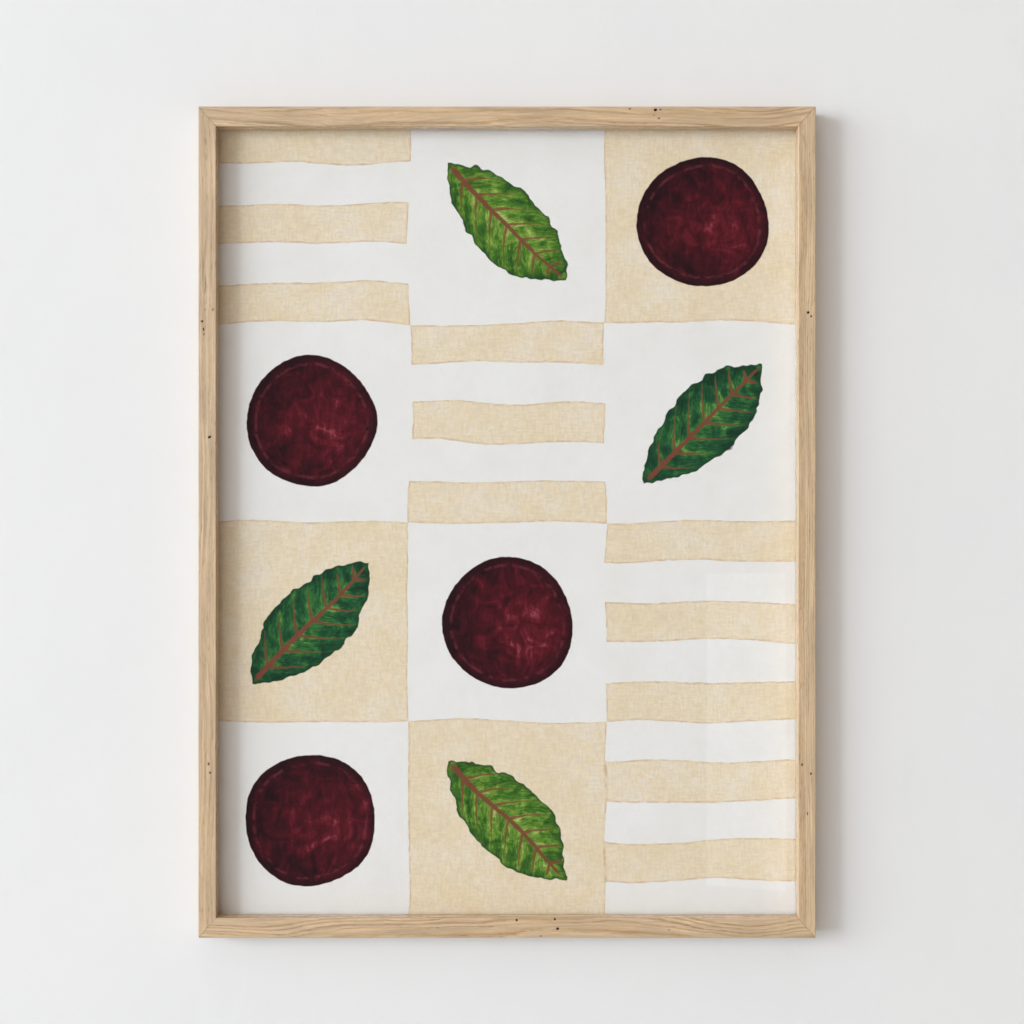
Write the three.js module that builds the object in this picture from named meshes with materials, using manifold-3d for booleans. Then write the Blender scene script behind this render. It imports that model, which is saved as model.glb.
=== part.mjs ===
// A wall-hung picture frame in solid light oak, glazed, with a print and a backing board.
// Four mitred mouldings carry a rebate at the back. The glazing lies against the shoulder of
// that rebate, then come the print sheet and the backing board, and bendable steel tabs hold
// them in. A steel V-nail ties each mitre. A sawtooth hanger on the top rail takes the wall
// hook, and two rubber bumpers keep the foot of the frame as far from the wall as the hanger.
//
// Units are millimetres and +Z is up. The front faces -Y and the wall is the plane y = 0.
// The origin is the middle of the hanger's wall side.

import * as THREE from 'three';
import { mergeVertices } from 'three/addons/utils/BufferGeometryUtils.js';
import Module from 'manifold-3d';

// ---- driving dimensions ------------------------------------------------------------------

const FRAME_WIDTH = 462;
const FRAME_HEIGHT = 622;
const FRAME_DEPTH = 24;
const STILE_WIDTH = 13.2;
const RAIL_WIDTH = 14.8;
const LIP_DEPTH = 16;
const REBATE_SHARE = 0.4;
const ARRIS_RADIUS = 0.5;
const BACK_CHAMFER = 0.6;

const GAP = 0.3;
const WALL_GAP = 2.4;

const SHEET_CLEARANCE = 1;
const GLAZING_THICKNESS = 2;
const PRINT_THICKNESS = 0.3;
const BACKING_THICKNESS = 2.5;

const TAB_THICKNESS = 0.5;
const TAB_WIDTH = 6.4;
const TAB_ROOT = 5;
const TAB_REACH = 10;
const TAB_POINT = 2;
const TAB_END_RADIUS = 1.6;
const TABS_PER_RAIL = 2;
const TABS_PER_STILE = 3;

const V_NAIL_THICKNESS = 0.5;
const V_NAIL_LEG = 3.6;
const V_NAIL_HEIGHT = 7;
const V_NAIL_SUNK = 0.4;
const V_NAIL_INSET = 3.6;

const HANGER_LENGTH = 45;
const HANGER_HEIGHT = 7.2;
const HANGER_THICKNESS = 0.9;
const HANGER_END = 8;
const HANGER_SLOPE = 1.6;
const TOOTH_PITCH = 2;
const TOOTH_DEPTH = 1.4;
const TOOTH_COUNT = 11;

const NAIL_RADIUS = 0.7;
const NAIL_LENGTH = 12;
const NAIL_TIP = 1.8;
const NAIL_HEAD_RADIUS = 1.6;
const NAIL_HEAD_THICKNESS = 0.7;

const BUMPER_RADIUS = 4;
const BUMPER_ROUNDING = 0.9;
const BUMPER_INSET = 20;

const ARC_STEPS = 4;
const PLATE_ARC_STEPS = 6;
const CIRCLE_STEPS = 24;

// ---- worked out from them -----------------------------------------------------------------

// The lands are what the rebate leaves of each moulding at the back.
const STILE_LAND = STILE_WIDTH * (1 - REBATE_SHARE);
const RAIL_LAND = RAIL_WIDTH * (1 - REBATE_SHARE);

// Depths inside the frame are counted from the back face of its mouldings.
const SHOULDER = LIP_DEPTH - FRAME_DEPTH;
const GLAZING_FRONT = SHOULDER + GAP;
const PRINT_FRONT = GLAZING_FRONT + GLAZING_THICKNESS + GAP;
const BACKING_FRONT = PRINT_FRONT + PRINT_THICKNESS + GAP;
const TAB_FRONT = BACKING_FRONT + BACKING_THICKNESS + GAP;

const SHEET_WIDTH = FRAME_WIDTH - 2 * (STILE_LAND + SHEET_CLEARANCE);
const SHEET_HEIGHT = FRAME_HEIGHT - 2 * (RAIL_LAND + SHEET_CLEARANCE);

// The hanger is centred on the land of the top rail.
const FRAME_CENTRE_Z = RAIL_LAND / 2 - FRAME_HEIGHT / 2;
const HANGER_NAIL_X = (HANGER_LENGTH - HANGER_END) / 2;
const HANGER_FOOT = GAP - WALL_GAP;
const NAIL_HEAD_FRONT = HANGER_FOOT + HANGER_THICKNESS + GAP;

// ---- materials ----------------------------------------------------------------------------

const material = (color, roughness, metalness = 0) =>
  new THREE.MeshStandardMaterial({ color, roughness, metalness });

const OAK = material(0xcbb293, 0.6);
const GLASS = material(0xe4ebe8, 0.05);
GLASS.transparent = true;
GLASS.opacity = 0.25;
const PRINT_PAPER = material(0xe2d7c0, 0.85);
const FIBREBOARD = material(0x9a7650, 0.8);
const ZINC_STEEL = material(0xb9bcbd, 0.4, 1);
const RUBBER = material(0x3a3a3a, 0.8);

// ---- booleans -----------------------------------------------------------------------------

const wasm = await Module();
wasm.setup();

function toSolid(geometry) {
  const bare = geometry.clone();
  bare.deleteAttribute('normal');
  bare.deleteAttribute('uv');
  const merged = mergeVertices(bare, 1e-4);
  return new wasm.Manifold(new wasm.Mesh({
    numProp: 3,
    vertProperties: new Float32Array(merged.attributes.position.array),
    triVerts: new Uint32Array(merged.index.array),
  }));
}

function toGeometry(solid) {
  const mesh = solid.getMesh();
  const geometry = new THREE.BufferGeometry();
  geometry.setAttribute('position', new THREE.BufferAttribute(mesh.vertProperties, 3));
  geometry.setIndex(new THREE.BufferAttribute(mesh.triVerts, 1));
  geometry.computeVertexNormals();
  return geometry;
}

function cut(geometry, cutters) {
  return toGeometry(cutters.reduce((body, cutter) => body.subtract(toSolid(cutter)), toSolid(geometry)));
}

// ---- shapes -------------------------------------------------------------------------------

// An outline drawn in X and Z, with its thickness along +Y from y = front.
function plate(outline, front, thickness) {
  const geometry = new THREE.ExtrudeGeometry(outline, {
    depth: thickness,
    bevelEnabled: false,
    curveSegments: PLATE_ARC_STEPS,
  });
  geometry.rotateX(Math.PI / 2);
  geometry.translate(0, front + thickness, 0);
  return geometry;
}

function polygon(corners) {
  return new THREE.Shape(corners.map(([x, y]) => new THREE.Vector2(x, y)));
}

// A profile of radius and y, turned round the Y axis.
function turned(profile) {
  return new THREE.LatheGeometry(profile.getPoints(ARC_STEPS), CIRCLE_STEPS);
}

function sheet(front, thickness) {
  const geometry = new THREE.BoxGeometry(SHEET_WIDTH, thickness, SHEET_HEIGHT);
  geometry.translate(0, front + thickness / 2, 0);
  return geometry;
}

function piece(name, geometry, finish) {
  const mesh = new THREE.Mesh(geometry, finish);
  mesh.name = name;
  return mesh;
}

// ---- mouldings ----------------------------------------------------------------------------

// The cross-section: x runs from the outer edge inwards, y from front to back. The rails are
// wider than the stiles, so their section is stretched in x, and the two meet on the mitre.
function mouldingSection(width) {
  const stretch = width / STILE_WIDTH;
  const arrisX = ARRIS_RADIUS * stretch;
  const arrisY = ARRIS_RADIUS - FRAME_DEPTH;
  const land = width * (1 - REBATE_SHARE);
  const section = new THREE.Shape();
  section.moveTo(0, arrisY);
  section.absellipse(arrisX, arrisY, arrisX, ARRIS_RADIUS, Math.PI, 1.5 * Math.PI);
  section.lineTo(width - arrisX, -FRAME_DEPTH);
  section.absellipse(width - arrisX, arrisY, arrisX, ARRIS_RADIUS, 1.5 * Math.PI, 2 * Math.PI);
  section.lineTo(width, SHOULDER);
  section.lineTo(land, SHOULDER);
  section.lineTo(land, 0);
  section.lineTo(BACK_CHAMFER * stretch, 0);
  section.lineTo(0, -BACK_CHAMFER);
  return section;
}

// A moulding stands upright at the left of the frame's middle. Its ends lean with the mitre,
// half a gap short of it.
function moulding({ length, across, width, otherWidth }) {
  const geometry = new THREE.ExtrudeGeometry(mouldingSection(width), {
    depth: length,
    bevelEnabled: false,
    curveSegments: ARC_STEPS,
  });
  const slope = otherWidth / width;
  const endGap = (GAP / 2) * Math.hypot(1, slope);
  const corners = geometry.attributes.position;
  for (let i = 0; i < corners.count; i++) {
    const inwards = corners.getX(i);
    const end = corners.getZ(i) > 0 ? 1 : -1;
    corners.setX(i, inwards - across / 2);
    corners.setZ(i, end * (length / 2 - inwards * slope - endGap));
  }
  return geometry;
}

const STILE = {
  length: FRAME_HEIGHT,
  across: FRAME_WIDTH,
  width: STILE_WIDTH,
  otherWidth: RAIL_WIDTH,
  tabs: TABS_PER_STILE,
};
const RAIL = {
  length: FRAME_WIDTH,
  across: FRAME_HEIGHT,
  width: RAIL_WIDTH,
  otherWidth: STILE_WIDTH,
  tabs: TABS_PER_RAIL,
};
const SIDES = [
  { name: 'left', kind: 'stile', turn: 0, ...STILE },
  { name: 'top', kind: 'rail', turn: 0.5 * Math.PI, ...RAIL },
  { name: 'right', kind: 'stile', turn: Math.PI, ...STILE },
  { name: 'bottom', kind: 'rail', turn: -0.5 * Math.PI, ...RAIL },
];

// ---- retaining tabs -----------------------------------------------------------------------

// A tab is a steel strip: its pointed root is driven into the rebate's wall at x = 0, and the
// rest reaches over the backing board.
function tabBlade() {
  const half = TAB_WIDTH / 2;
  const roundX = TAB_REACH - TAB_END_RADIUS;
  const roundZ = half - TAB_END_RADIUS;
  const outline = new THREE.Shape();
  outline.moveTo(-TAB_ROOT, 0);
  outline.lineTo(TAB_POINT - TAB_ROOT, -half);
  outline.absarc(roundX, -roundZ, TAB_END_RADIUS, -0.5 * Math.PI, 0);
  outline.absarc(roundX, roundZ, TAB_END_RADIUS, 0, 0.5 * Math.PI);
  outline.lineTo(TAB_POINT - TAB_ROOT, half);
  return plate(outline, 0, TAB_THICKNESS);
}

function tabSlot() {
  const depth = TAB_ROOT + GAP;
  const mouth = 1;
  const slot = new THREE.BoxGeometry(depth + mouth, TAB_THICKNESS + 2 * GAP, TAB_WIDTH + 2 * GAP);
  slot.translate((mouth - depth) / 2, TAB_THICKNESS / 2, 0);
  return slot;
}

function tabPlaces({ length, across, width, tabs }) {
  const wall = width * (1 - REBATE_SHARE) - across / 2;
  return Array.from({ length: tabs }, (_, i) => {
    const share = (i + 0.5) / tabs - 0.5;
    return new THREE.Vector3(wall, TAB_FRONT, share * length);
  });
}

// ---- V-nails ------------------------------------------------------------------------------

// Drawn with its point at the origin and its legs opening towards +x at a right angle.
function vNailOutline(grown) {
  const half = V_NAIL_THICKNESS / 2 + grown;
  const tip = (V_NAIL_LEG + grown) * Math.SQRT1_2;
  const skin = half * Math.SQRT1_2;
  return polygon([
    [2 * skin, 0],
    [tip + skin, tip - skin],
    [tip - skin, tip + skin],
    [-2 * skin, 0],
    [tip - skin, -tip - skin],
    [tip + skin, skin - tip],
  ]);
}

function vNailBlade() {
  return plate(vNailOutline(0), -V_NAIL_SUNK - V_NAIL_HEIGHT, V_NAIL_HEIGHT);
}

function vNailSlot() {
  const depth = V_NAIL_SUNK + V_NAIL_HEIGHT + GAP;
  return plate(vNailOutline(GAP), -depth, depth + 1);
}

// The point sits on the mitre, just outside the corner of the rebate, and the legs run out
// from it, one in each moulding.
const CORNERS = [[-1, 1], [1, 1], [-1, -1], [1, -1]].map(([x, z]) => {
  const outwards = new THREE.Vector3(x * STILE_WIDTH, 0, z * RAIL_WIDTH).normalize();
  const place = new THREE.Vector3(x * (FRAME_WIDTH / 2 - STILE_LAND), 0, z * (FRAME_HEIGHT / 2 - RAIL_LAND));
  return {
    name: `${z > 0 ? 'top' : 'bottom'}_${x > 0 ? 'right' : 'left'}`,
    place: place.addScaledVector(outwards, V_NAIL_INSET),
    turn: Math.atan2(-outwards.z, outwards.x),
  };
});

// ---- hanger -------------------------------------------------------------------------------

// The strip's bends, seen from above: its ends lie on the rail and its middle stands off it.
function hangerStrip() {
  const rise = -HANGER_FOOT - HANGER_THICKNESS;
  const shift = HANGER_THICKNESS * Math.tan(Math.atan2(rise, HANGER_SLOPE) / 2);
  const end = HANGER_LENGTH / 2;
  const foot = end - HANGER_END;
  const shoulder = foot - HANGER_SLOPE;
  const half = [
    [end, HANGER_FOOT],
    [end, -rise],
    [foot, -rise],
    [shoulder, 0],
  ];
  const underside = [
    [shoulder - shift, -HANGER_THICKNESS],
    [foot - shift, HANGER_FOOT],
  ];
  const mirrored = (points) => points.map(([x, y]) => [-x, y]).reverse();
  const strip = new THREE.ExtrudeGeometry(
    polygon([...half, ...mirrored(half), ...mirrored(underside), ...underside]),
    { depth: HANGER_HEIGHT, bevelEnabled: false },
  );
  strip.translate(0, 0, -HANGER_HEIGHT / 2);
  return strip;
}

// The strip's outline from behind: round ends with a nail hole each, and teeth along its foot.
function hangerOutline() {
  const radius = HANGER_HEIGHT / 2;
  const roundX = HANGER_LENGTH / 2 - radius;
  const toothed = TOOTH_COUNT * TOOTH_PITCH;
  const outline = new THREE.Shape();
  outline.moveTo(-roundX, -radius);
  for (let i = 0; i < TOOTH_COUNT; i++) {
    const x = i * TOOTH_PITCH - toothed / 2;
    outline.lineTo(x, -radius);
    outline.lineTo(x + TOOTH_PITCH / 2, TOOTH_DEPTH - radius);
  }
  outline.lineTo(toothed / 2, -radius);
  outline.absarc(roundX, 0, radius, -0.5 * Math.PI, 0.5 * Math.PI);
  outline.absarc(-roundX, 0, radius, 0.5 * Math.PI, 1.5 * Math.PI);
  for (const side of [-1, 1]) {
    const hole = new THREE.Path();
    hole.absarc(side * HANGER_NAIL_X, 0, NAIL_RADIUS + GAP, 0, 2 * Math.PI, true);
    outline.holes.push(hole);
  }
  return outline;
}

function hangerPlate() {
  const blank = plate(hangerOutline(), -WALL_GAP, 2 * WALL_GAP);
  return toGeometry(toSolid(hangerStrip()).intersect(toSolid(blank)));
}

function hangerNail() {
  const profile = new THREE.Path();
  profile.moveTo(0, NAIL_HEAD_FRONT - NAIL_LENGTH);
  profile.lineTo(NAIL_RADIUS, NAIL_HEAD_FRONT - NAIL_LENGTH + NAIL_TIP);
  profile.lineTo(NAIL_RADIUS, NAIL_HEAD_FRONT);
  profile.lineTo(NAIL_HEAD_RADIUS, NAIL_HEAD_FRONT);
  const crown = NAIL_HEAD_FRONT + NAIL_HEAD_THICKNESS;
  profile.quadraticCurveTo(NAIL_HEAD_RADIUS, crown, 0, crown);
  return turned(profile);
}

// The holes that the hanger's nails have made in the top rail, in the frame's own middle frame.
function hangerNailHoles() {
  const bottom = NAIL_HEAD_FRONT - NAIL_LENGTH - GAP + WALL_GAP;
  const mouth = 1;
  return [-1, 1].map((side) => {
    const hole = new THREE.CylinderGeometry(
      NAIL_RADIUS + GAP,
      NAIL_RADIUS + GAP,
      mouth - bottom,
      CIRCLE_STEPS,
    );
    hole.translate(side * HANGER_NAIL_X, (mouth + bottom) / 2, -FRAME_CENTRE_Z);
    return hole;
  });
}

// ---- bumpers ------------------------------------------------------------------------------

function bumperPad() {
  const profile = new THREE.Path();
  profile.moveTo(0, HANGER_FOOT);
  profile.lineTo(BUMPER_RADIUS, HANGER_FOOT);
  profile.absarc(BUMPER_RADIUS - BUMPER_ROUNDING, -BUMPER_ROUNDING, BUMPER_ROUNDING, 0, 0.5 * Math.PI);
  profile.lineTo(0, 0);
  return turned(profile);
}

// ---- assembly -----------------------------------------------------------------------------

const framedPrint = new THREE.Group();
const frame = new THREE.Group();
frame.position.set(0, -WALL_GAP, FRAME_CENTRE_Z);
framedPrint.add(frame);

for (const side of SIDES) {
  const group = new THREE.Group();
  group.rotation.y = side.turn;
  frame.add(group);

  const slots = CORNERS.map(({ place, turn }) =>
    vNailSlot().rotateY(turn).translate(place.x, place.y, place.z).rotateY(-side.turn));
  const holes = hangerNailHoles().map((hole) => hole.rotateY(-side.turn));
  const tabSpots = tabPlaces(side);
  const tabSlots = tabSpots.map((spot) => tabSlot().translate(spot.x, spot.y, spot.z));
  const bar = cut(moulding(side), [...slots, ...holes, ...tabSlots]);
  group.add(piece(`${side.name}_${side.kind}`, bar, OAK));

  tabSpots.forEach((spot, i) => {
    const tab = piece(`retaining_tab_${side.name}_${i + 1}`, tabBlade(), ZINC_STEEL);
    tab.position.copy(spot);
    group.add(tab);
  });
}

for (const { name, place, turn } of CORNERS) {
  const nail = piece(`v_nail_${name}`, vNailBlade(), ZINC_STEEL);
  nail.position.copy(place);
  nail.rotation.y = turn;
  frame.add(nail);
}

frame.add(piece('glazing', sheet(GLAZING_FRONT, GLAZING_THICKNESS), GLASS));
frame.add(piece('print_sheet', sheet(PRINT_FRONT, PRINT_THICKNESS), PRINT_PAPER));
frame.add(piece('backing_board', sheet(BACKING_FRONT, BACKING_THICKNESS), FIBREBOARD));

framedPrint.add(piece('sawtooth_hanger', hangerPlate(), ZINC_STEEL));

for (const [name, side] of [['left', -1], ['right', 1]]) {
  const nail = piece(`hanger_nail_${name}`, hangerNail(), ZINC_STEEL);
  nail.position.x = side * HANGER_NAIL_X;
  framedPrint.add(nail);

  const bumper = piece(`wall_bumper_${name}`, bumperPad(), RUBBER);
  bumper.position.x = side * (FRAME_WIDTH / 2 - BUMPER_INSET);
  bumper.position.z = 2 * FRAME_CENTRE_Z;
  framedPrint.add(bumper);
}

export default framedPrint;
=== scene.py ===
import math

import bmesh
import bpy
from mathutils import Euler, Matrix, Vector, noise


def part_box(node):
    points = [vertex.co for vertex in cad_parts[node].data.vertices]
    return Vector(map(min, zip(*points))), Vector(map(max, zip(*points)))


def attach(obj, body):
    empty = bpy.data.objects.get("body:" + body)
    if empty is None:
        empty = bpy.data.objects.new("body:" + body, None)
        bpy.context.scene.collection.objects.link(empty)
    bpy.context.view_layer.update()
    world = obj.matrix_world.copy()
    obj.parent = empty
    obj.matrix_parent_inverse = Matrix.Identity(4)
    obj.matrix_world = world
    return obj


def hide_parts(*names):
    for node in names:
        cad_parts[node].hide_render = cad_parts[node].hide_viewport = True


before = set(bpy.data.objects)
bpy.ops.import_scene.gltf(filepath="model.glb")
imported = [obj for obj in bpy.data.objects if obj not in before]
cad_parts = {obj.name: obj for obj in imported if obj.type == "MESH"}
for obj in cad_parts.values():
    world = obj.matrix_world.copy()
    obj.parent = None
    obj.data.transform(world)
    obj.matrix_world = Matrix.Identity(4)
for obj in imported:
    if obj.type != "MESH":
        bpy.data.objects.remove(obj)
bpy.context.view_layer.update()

# A print in a light oak box frame, as it hangs on a wall.
# Four mitred mouldings hold picture glass, a painted print on paper and a hardboard back.
# Bendable steel tabs keep the back in, V-nails tie the mitres, and a sawtooth hanger and two
# rubber bumpers meet the wall. Lengths are metres: a value in millimetres is times MM.

MM = 0.001
PER_MM = (1 / MM, 1 / MM, 1 / MM)

# Points nearer to each other than this are one.
WELD = 0.001 * MM

# ---- sizes, taken from the frame's own nodes --------------------------------------------------

LEFT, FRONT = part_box("left_stile")[0].xy
STILE_END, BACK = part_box("left_stile")[1].xy
TOP, RAIL_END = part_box("top_rail")[1].z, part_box("top_rail")[0].z
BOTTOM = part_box("bottom_rail")[0].z
FRAME_WIDTH = -2 * LEFT
FRAME_HEIGHT = TOP - BOTTOM
MIDDLE = Vector((0, 0, (TOP + BOTTOM) / 2))
STILE_WIDTH = STILE_END - LEFT
RAIL_WIDTH = TOP - RAIL_END
OPENING_WIDTH = FRAME_WIDTH - 2 * STILE_WIDTH
OPENING_HEIGHT = FRAME_HEIGHT - 2 * RAIL_WIDTH

# The rebate takes this share of a member's width. Its shoulder stands just before the glass.
REBATE_SHARE = 0.4
SHOULDER_GAP = 0.3 * MM
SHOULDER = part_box("glazing")[0].y - SHOULDER_GAP

ARRIS = 0.5 * MM
BACK_ARRIS = 0.6 * MM
REBATE_ARRIS = 0.25 * MM
MITRE_GAP = 0.12 * MM
MITRE_EASE = 0.12 * MM


# ---- helpers ----------------------------------------------------------------------------------

# An edge turns at least this much to be sharp, and a broad face has this many times its
# neighbour's area.
SHARP = math.radians(35)
BROAD = 8
# Added to a pattern's colour, which is between 0 and 1, it leaves it on both sides of zero.
AROUND_ZERO = (-0.5, -0.5, -0.5)


def linear(colour):
    """An sRGB hex colour, as the linear colour that a socket holds."""
    channels = [int(colour[i:i + 2], 16) / 255 for i in (1, 3, 5)]
    return (*(c / 12.92 if c <= 0.04045 else ((c + 0.055) / 1.055) ** 2.4 for c in channels), 1.0)


def add(tree, kind, *values, stops=(), **settings):
    """Adds a node. Values go to its inputs in turn, and settings to what they name: a property
    of the node, or an input, whose spaces are written as _. A node stands for its output."""
    node = tree.nodes.new(kind)
    named = {}
    for name, value in settings.items():
        if hasattr(node, name):
            setattr(node, name, value)
        else:
            named[name.replace("_", " ")] = value
    sockets = [socket for socket in node.inputs if socket.enabled]
    wanted = list(zip(sockets, values))
    for name, value in named.items():
        wanted.append((next(socket for socket in sockets if socket.name == name), value))
    for socket, value in wanted:
        if isinstance(value, bpy.types.Node):
            value = next(output for output in value.outputs if output.enabled)
        if isinstance(value, bpy.types.NodeSocket):
            tree.links.new(value, socket)
        elif isinstance(value, str) and value.startswith("#"):
            socket.default_value = linear(value)
        else:
            socket.default_value = value
    for i, (place, colour) in enumerate(stops):
        ramp = node.color_ramp.elements
        stop = ramp[i] if i < 2 else ramp.new(place)
        stop.position, stop.color = place, linear(colour)
    return node


def new_material(name):
    """A new material and its empty node tree."""
    material = bpy.data.materials.new(name)
    material.use_nodes = True
    tree = material.node_tree
    tree.nodes.clear()
    return material, tree


def show(tree, surface):
    """Ends a material's tree with the shader that it shows."""
    add(tree, "ShaderNodeOutputMaterial", Surface=surface)


def streaks(tree, place, length_mm, width_mm, **settings):
    """A pattern drawn out along its first axis, in streaks of about this length and width."""
    stretch = (1 / length_mm, 1 / width_mm, 1 / width_mm)
    stretched = add(tree, "ShaderNodeVectorMath", place, stretch, operation="MULTIPLY")
    return add(tree, "ShaderNodeTexNoise", stretched, Scale=1.0, **settings)


def strayed(tree, place, pattern, reach):
    """A place moved about by a pattern's colour, by half of this reach at most each way."""
    stray = add(tree, "ShaderNodeVectorMath", pattern.outputs["Color"], AROUND_ZERO, operation="ADD")
    stray = add(tree, "ShaderNodeVectorMath", stray, reach, operation="MULTIPLY")
    return add(tree, "ShaderNodeVectorMath", place, stray, operation="ADD")


def finished(name, mesh, material, slot, *nodes):
    """Makes a mesh a piece of the object, which stands for these nodes of the frame."""
    mesh.materials.clear()
    mesh.materials.append(material)
    piece = bpy.data.objects.new(name, mesh)
    bpy.context.scene.collection.objects.link(piece)
    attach(piece, "root")
    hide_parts(*nodes)


def smoothed(mesh):
    """Shades a mesh smooth, apart from its sharp edges. A broad flat face stays flat: its
    border with the small faces of a rounding is kept crisp too."""
    mesh.shade_smooth()
    mesh.set_sharp_from_angle(angle=SHARP)
    body = bmesh.new()
    body.from_mesh(mesh)
    for edge in body.edges:
        areas = sorted(face.calc_area() for face in edge.link_faces)
        if len(areas) == 2 and areas[1] > BROAD * areas[0]:
            edge.smooth = False
    body.to_mesh(mesh)
    body.free()
    return mesh


def turned_out(mesh):
    """Welds a closed mesh's points, and turns its faces outwards."""
    body = bmesh.new()
    body.from_mesh(mesh)
    bmesh.ops.remove_doubles(body, verts=body.verts, dist=WELD)
    bmesh.ops.recalc_face_normals(body, faces=body.faces)
    body.to_mesh(mesh)
    body.free()
    return mesh


def closed_mesh(name, vertices, faces):
    """A mesh of these faces, welded and with its faces outwards."""
    mesh = bpy.data.meshes.new(name)
    mesh.from_pydata(vertices, [], faces)
    return turned_out(mesh)


def rounded(corners, steps=8):
    """An outline whose right-angled corners, given as (x, y, radius), become round."""
    outline = []
    for i, (x, y, radius) in enumerate(corners):
        corner = Vector((x, y))
        if radius == 0:
            outline.append(corner)
            continue
        before = (Vector(corners[i - 1][:2]) - corner).normalized()
        after = (Vector(corners[(i + 1) % len(corners)][:2]) - corner).normalized()
        centre = corner + (before + after) * radius
        for k in range(steps + 1):
            turn = math.radians(90) * k / steps
            outline.append(centre - (after * math.cos(turn) + before * math.sin(turn)) * radius)
    return outline


# ---- oak mouldings ----------------------------------------------------------------------------

# Each member's turn from the left stile's place, in degrees, then its length, the frame's size
# across it, its own width, and its neighbours' width.
SIDES = {
    "left_stile": (0, FRAME_HEIGHT, FRAME_WIDTH, STILE_WIDTH, RAIL_WIDTH),
    "top_rail": (90, FRAME_WIDTH, FRAME_HEIGHT, RAIL_WIDTH, STILE_WIDTH),
    "right_stile": (180, FRAME_HEIGHT, FRAME_WIDTH, STILE_WIDTH, RAIL_WIDTH),
    "bottom_rail": (-90, FRAME_WIDTH, FRAME_HEIGHT, RAIL_WIDTH, STILE_WIDTH),
}
BAKE_STRIPS = 3
BAKE_MARGIN = 3 * MM


def moulding_section(width):
    """The outline across a stile, from its outer edge inwards and from front to back, which
    is stretched to a rail's width so that the two meet on the mitre."""
    land = STILE_WIDTH * (1 - REBATE_SHARE)
    outline = rounded([
        (0, FRONT, ARRIS),
        (STILE_WIDTH, FRONT, ARRIS),
        (STILE_WIDTH, SHOULDER, REBATE_ARRIS),
        (land, SHOULDER, 0),
        (land, BACK, REBATE_ARRIS),
        (0, BACK, BACK_ARRIS),
    ])
    return [Vector((point.x * width / STILE_WIDTH, point.y)) for point in outline]


def inset(outline, by):
    """A closed outline moved inwards."""
    moved = []
    for i, point in enumerate(outline):
        run = outline[(i + 1) % len(outline)] - outline[i - 1]
        moved.append(point + Vector((-run.y, run.x)).normalized() * by)
    return moved


def bake_map(mesh, outline, end_outline, along, length):
    """Lays a moulding out flat for baking: its sides unrolled as strips, one above the other,
    and its two ends beside the upper ones. The cuts between strips slant, as part of a mitre."""
    count = len(outline)
    last_row = len(along) // count - 1
    girth = [0]
    for i in range(count):
        girth.append(girth[-1] + (outline[(i + 1) % count] - outline[i]).length)
    pitch = girth[-1] + BAKE_MARGIN
    strip_length = length / BAKE_STRIPS
    slant = RAIL_WIDTH / BAKE_STRIPS
    map_side = max(BAKE_STRIPS * pitch, slant + strip_length + 2 * BAKE_MARGIN + RAIL_WIDTH)
    layer = mesh.uv_layers.new(name="OFBake")
    for face in mesh.polygons:
        row, step = divmod(face.index, count)
        strip = min(max(row - 1, 0), BAKE_STRIPS - 1)
        for corner, loop in enumerate(face.loop_indices):
            vertex = mesh.loops[loop].vertex_index
            if row < last_row:
                u = along[vertex] + length / 2 - strip * strip_length
                v = girth[step + (corner in (1, 2))] + strip * pitch
            else:
                point = end_outline[vertex % count]
                u = strip_length + BAKE_MARGIN + point.x
                v = point.y - FRONT + (step + 1) * pitch
            u, v = u + slant + BAKE_MARGIN / 2, v + BAKE_MARGIN / 2
            layer.data[loop].uv = (u / map_side, v / map_side)


def moulding(name):
    """One mitred member. Its ends are eased a little, so that the mitre reads as a fine line."""
    turn, length, across, width, other = SIDES[name]
    outline = moulding_section(width)
    eased = inset(outline, MITRE_EASE)
    slope = other / width
    gap = MITRE_GAP / 2 * math.hypot(1, slope)
    ease = MITRE_EASE * math.hypot(1, slope)
    strip_ends = [2 * k / BAKE_STRIPS - 1 for k in range(1, BAKE_STRIPS)]
    rows = [(-1, 0, eased), (-1, ease, outline)]
    rows += [(end, ease, outline) for end in strip_ends]
    rows += [(1, ease, outline), (1, 0, eased)]

    to_frame = Matrix.Translation(MIDDLE) @ Matrix.Rotation(math.radians(turn), 4, "Y")
    vertices, along = [], []
    for side, short, points in rows:
        for point in points:
            along.append(side * (length / 2 - point.x * slope - gap - short))
            vertices.append(to_frame @ Vector((point.x - across / 2, point.y, along[-1])))
    count = len(outline)
    faces = []
    for row in range(len(rows) - 1):
        near, far = row * count, (row + 1) * count
        for i in range(count):
            after = (i + 1) % count
            faces.append((near + i, near + after, far + after, far + i))
    faces.append(tuple(range(count)))
    faces.append(tuple(range(len(vertices) - count, len(vertices))))
    mesh = bpy.data.meshes.new(name + "_oak")
    mesh.from_pydata(vertices, [], faces)
    bake_map(mesh, outline, eased, along, length)
    return smoothed(turned_out(mesh))


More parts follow.
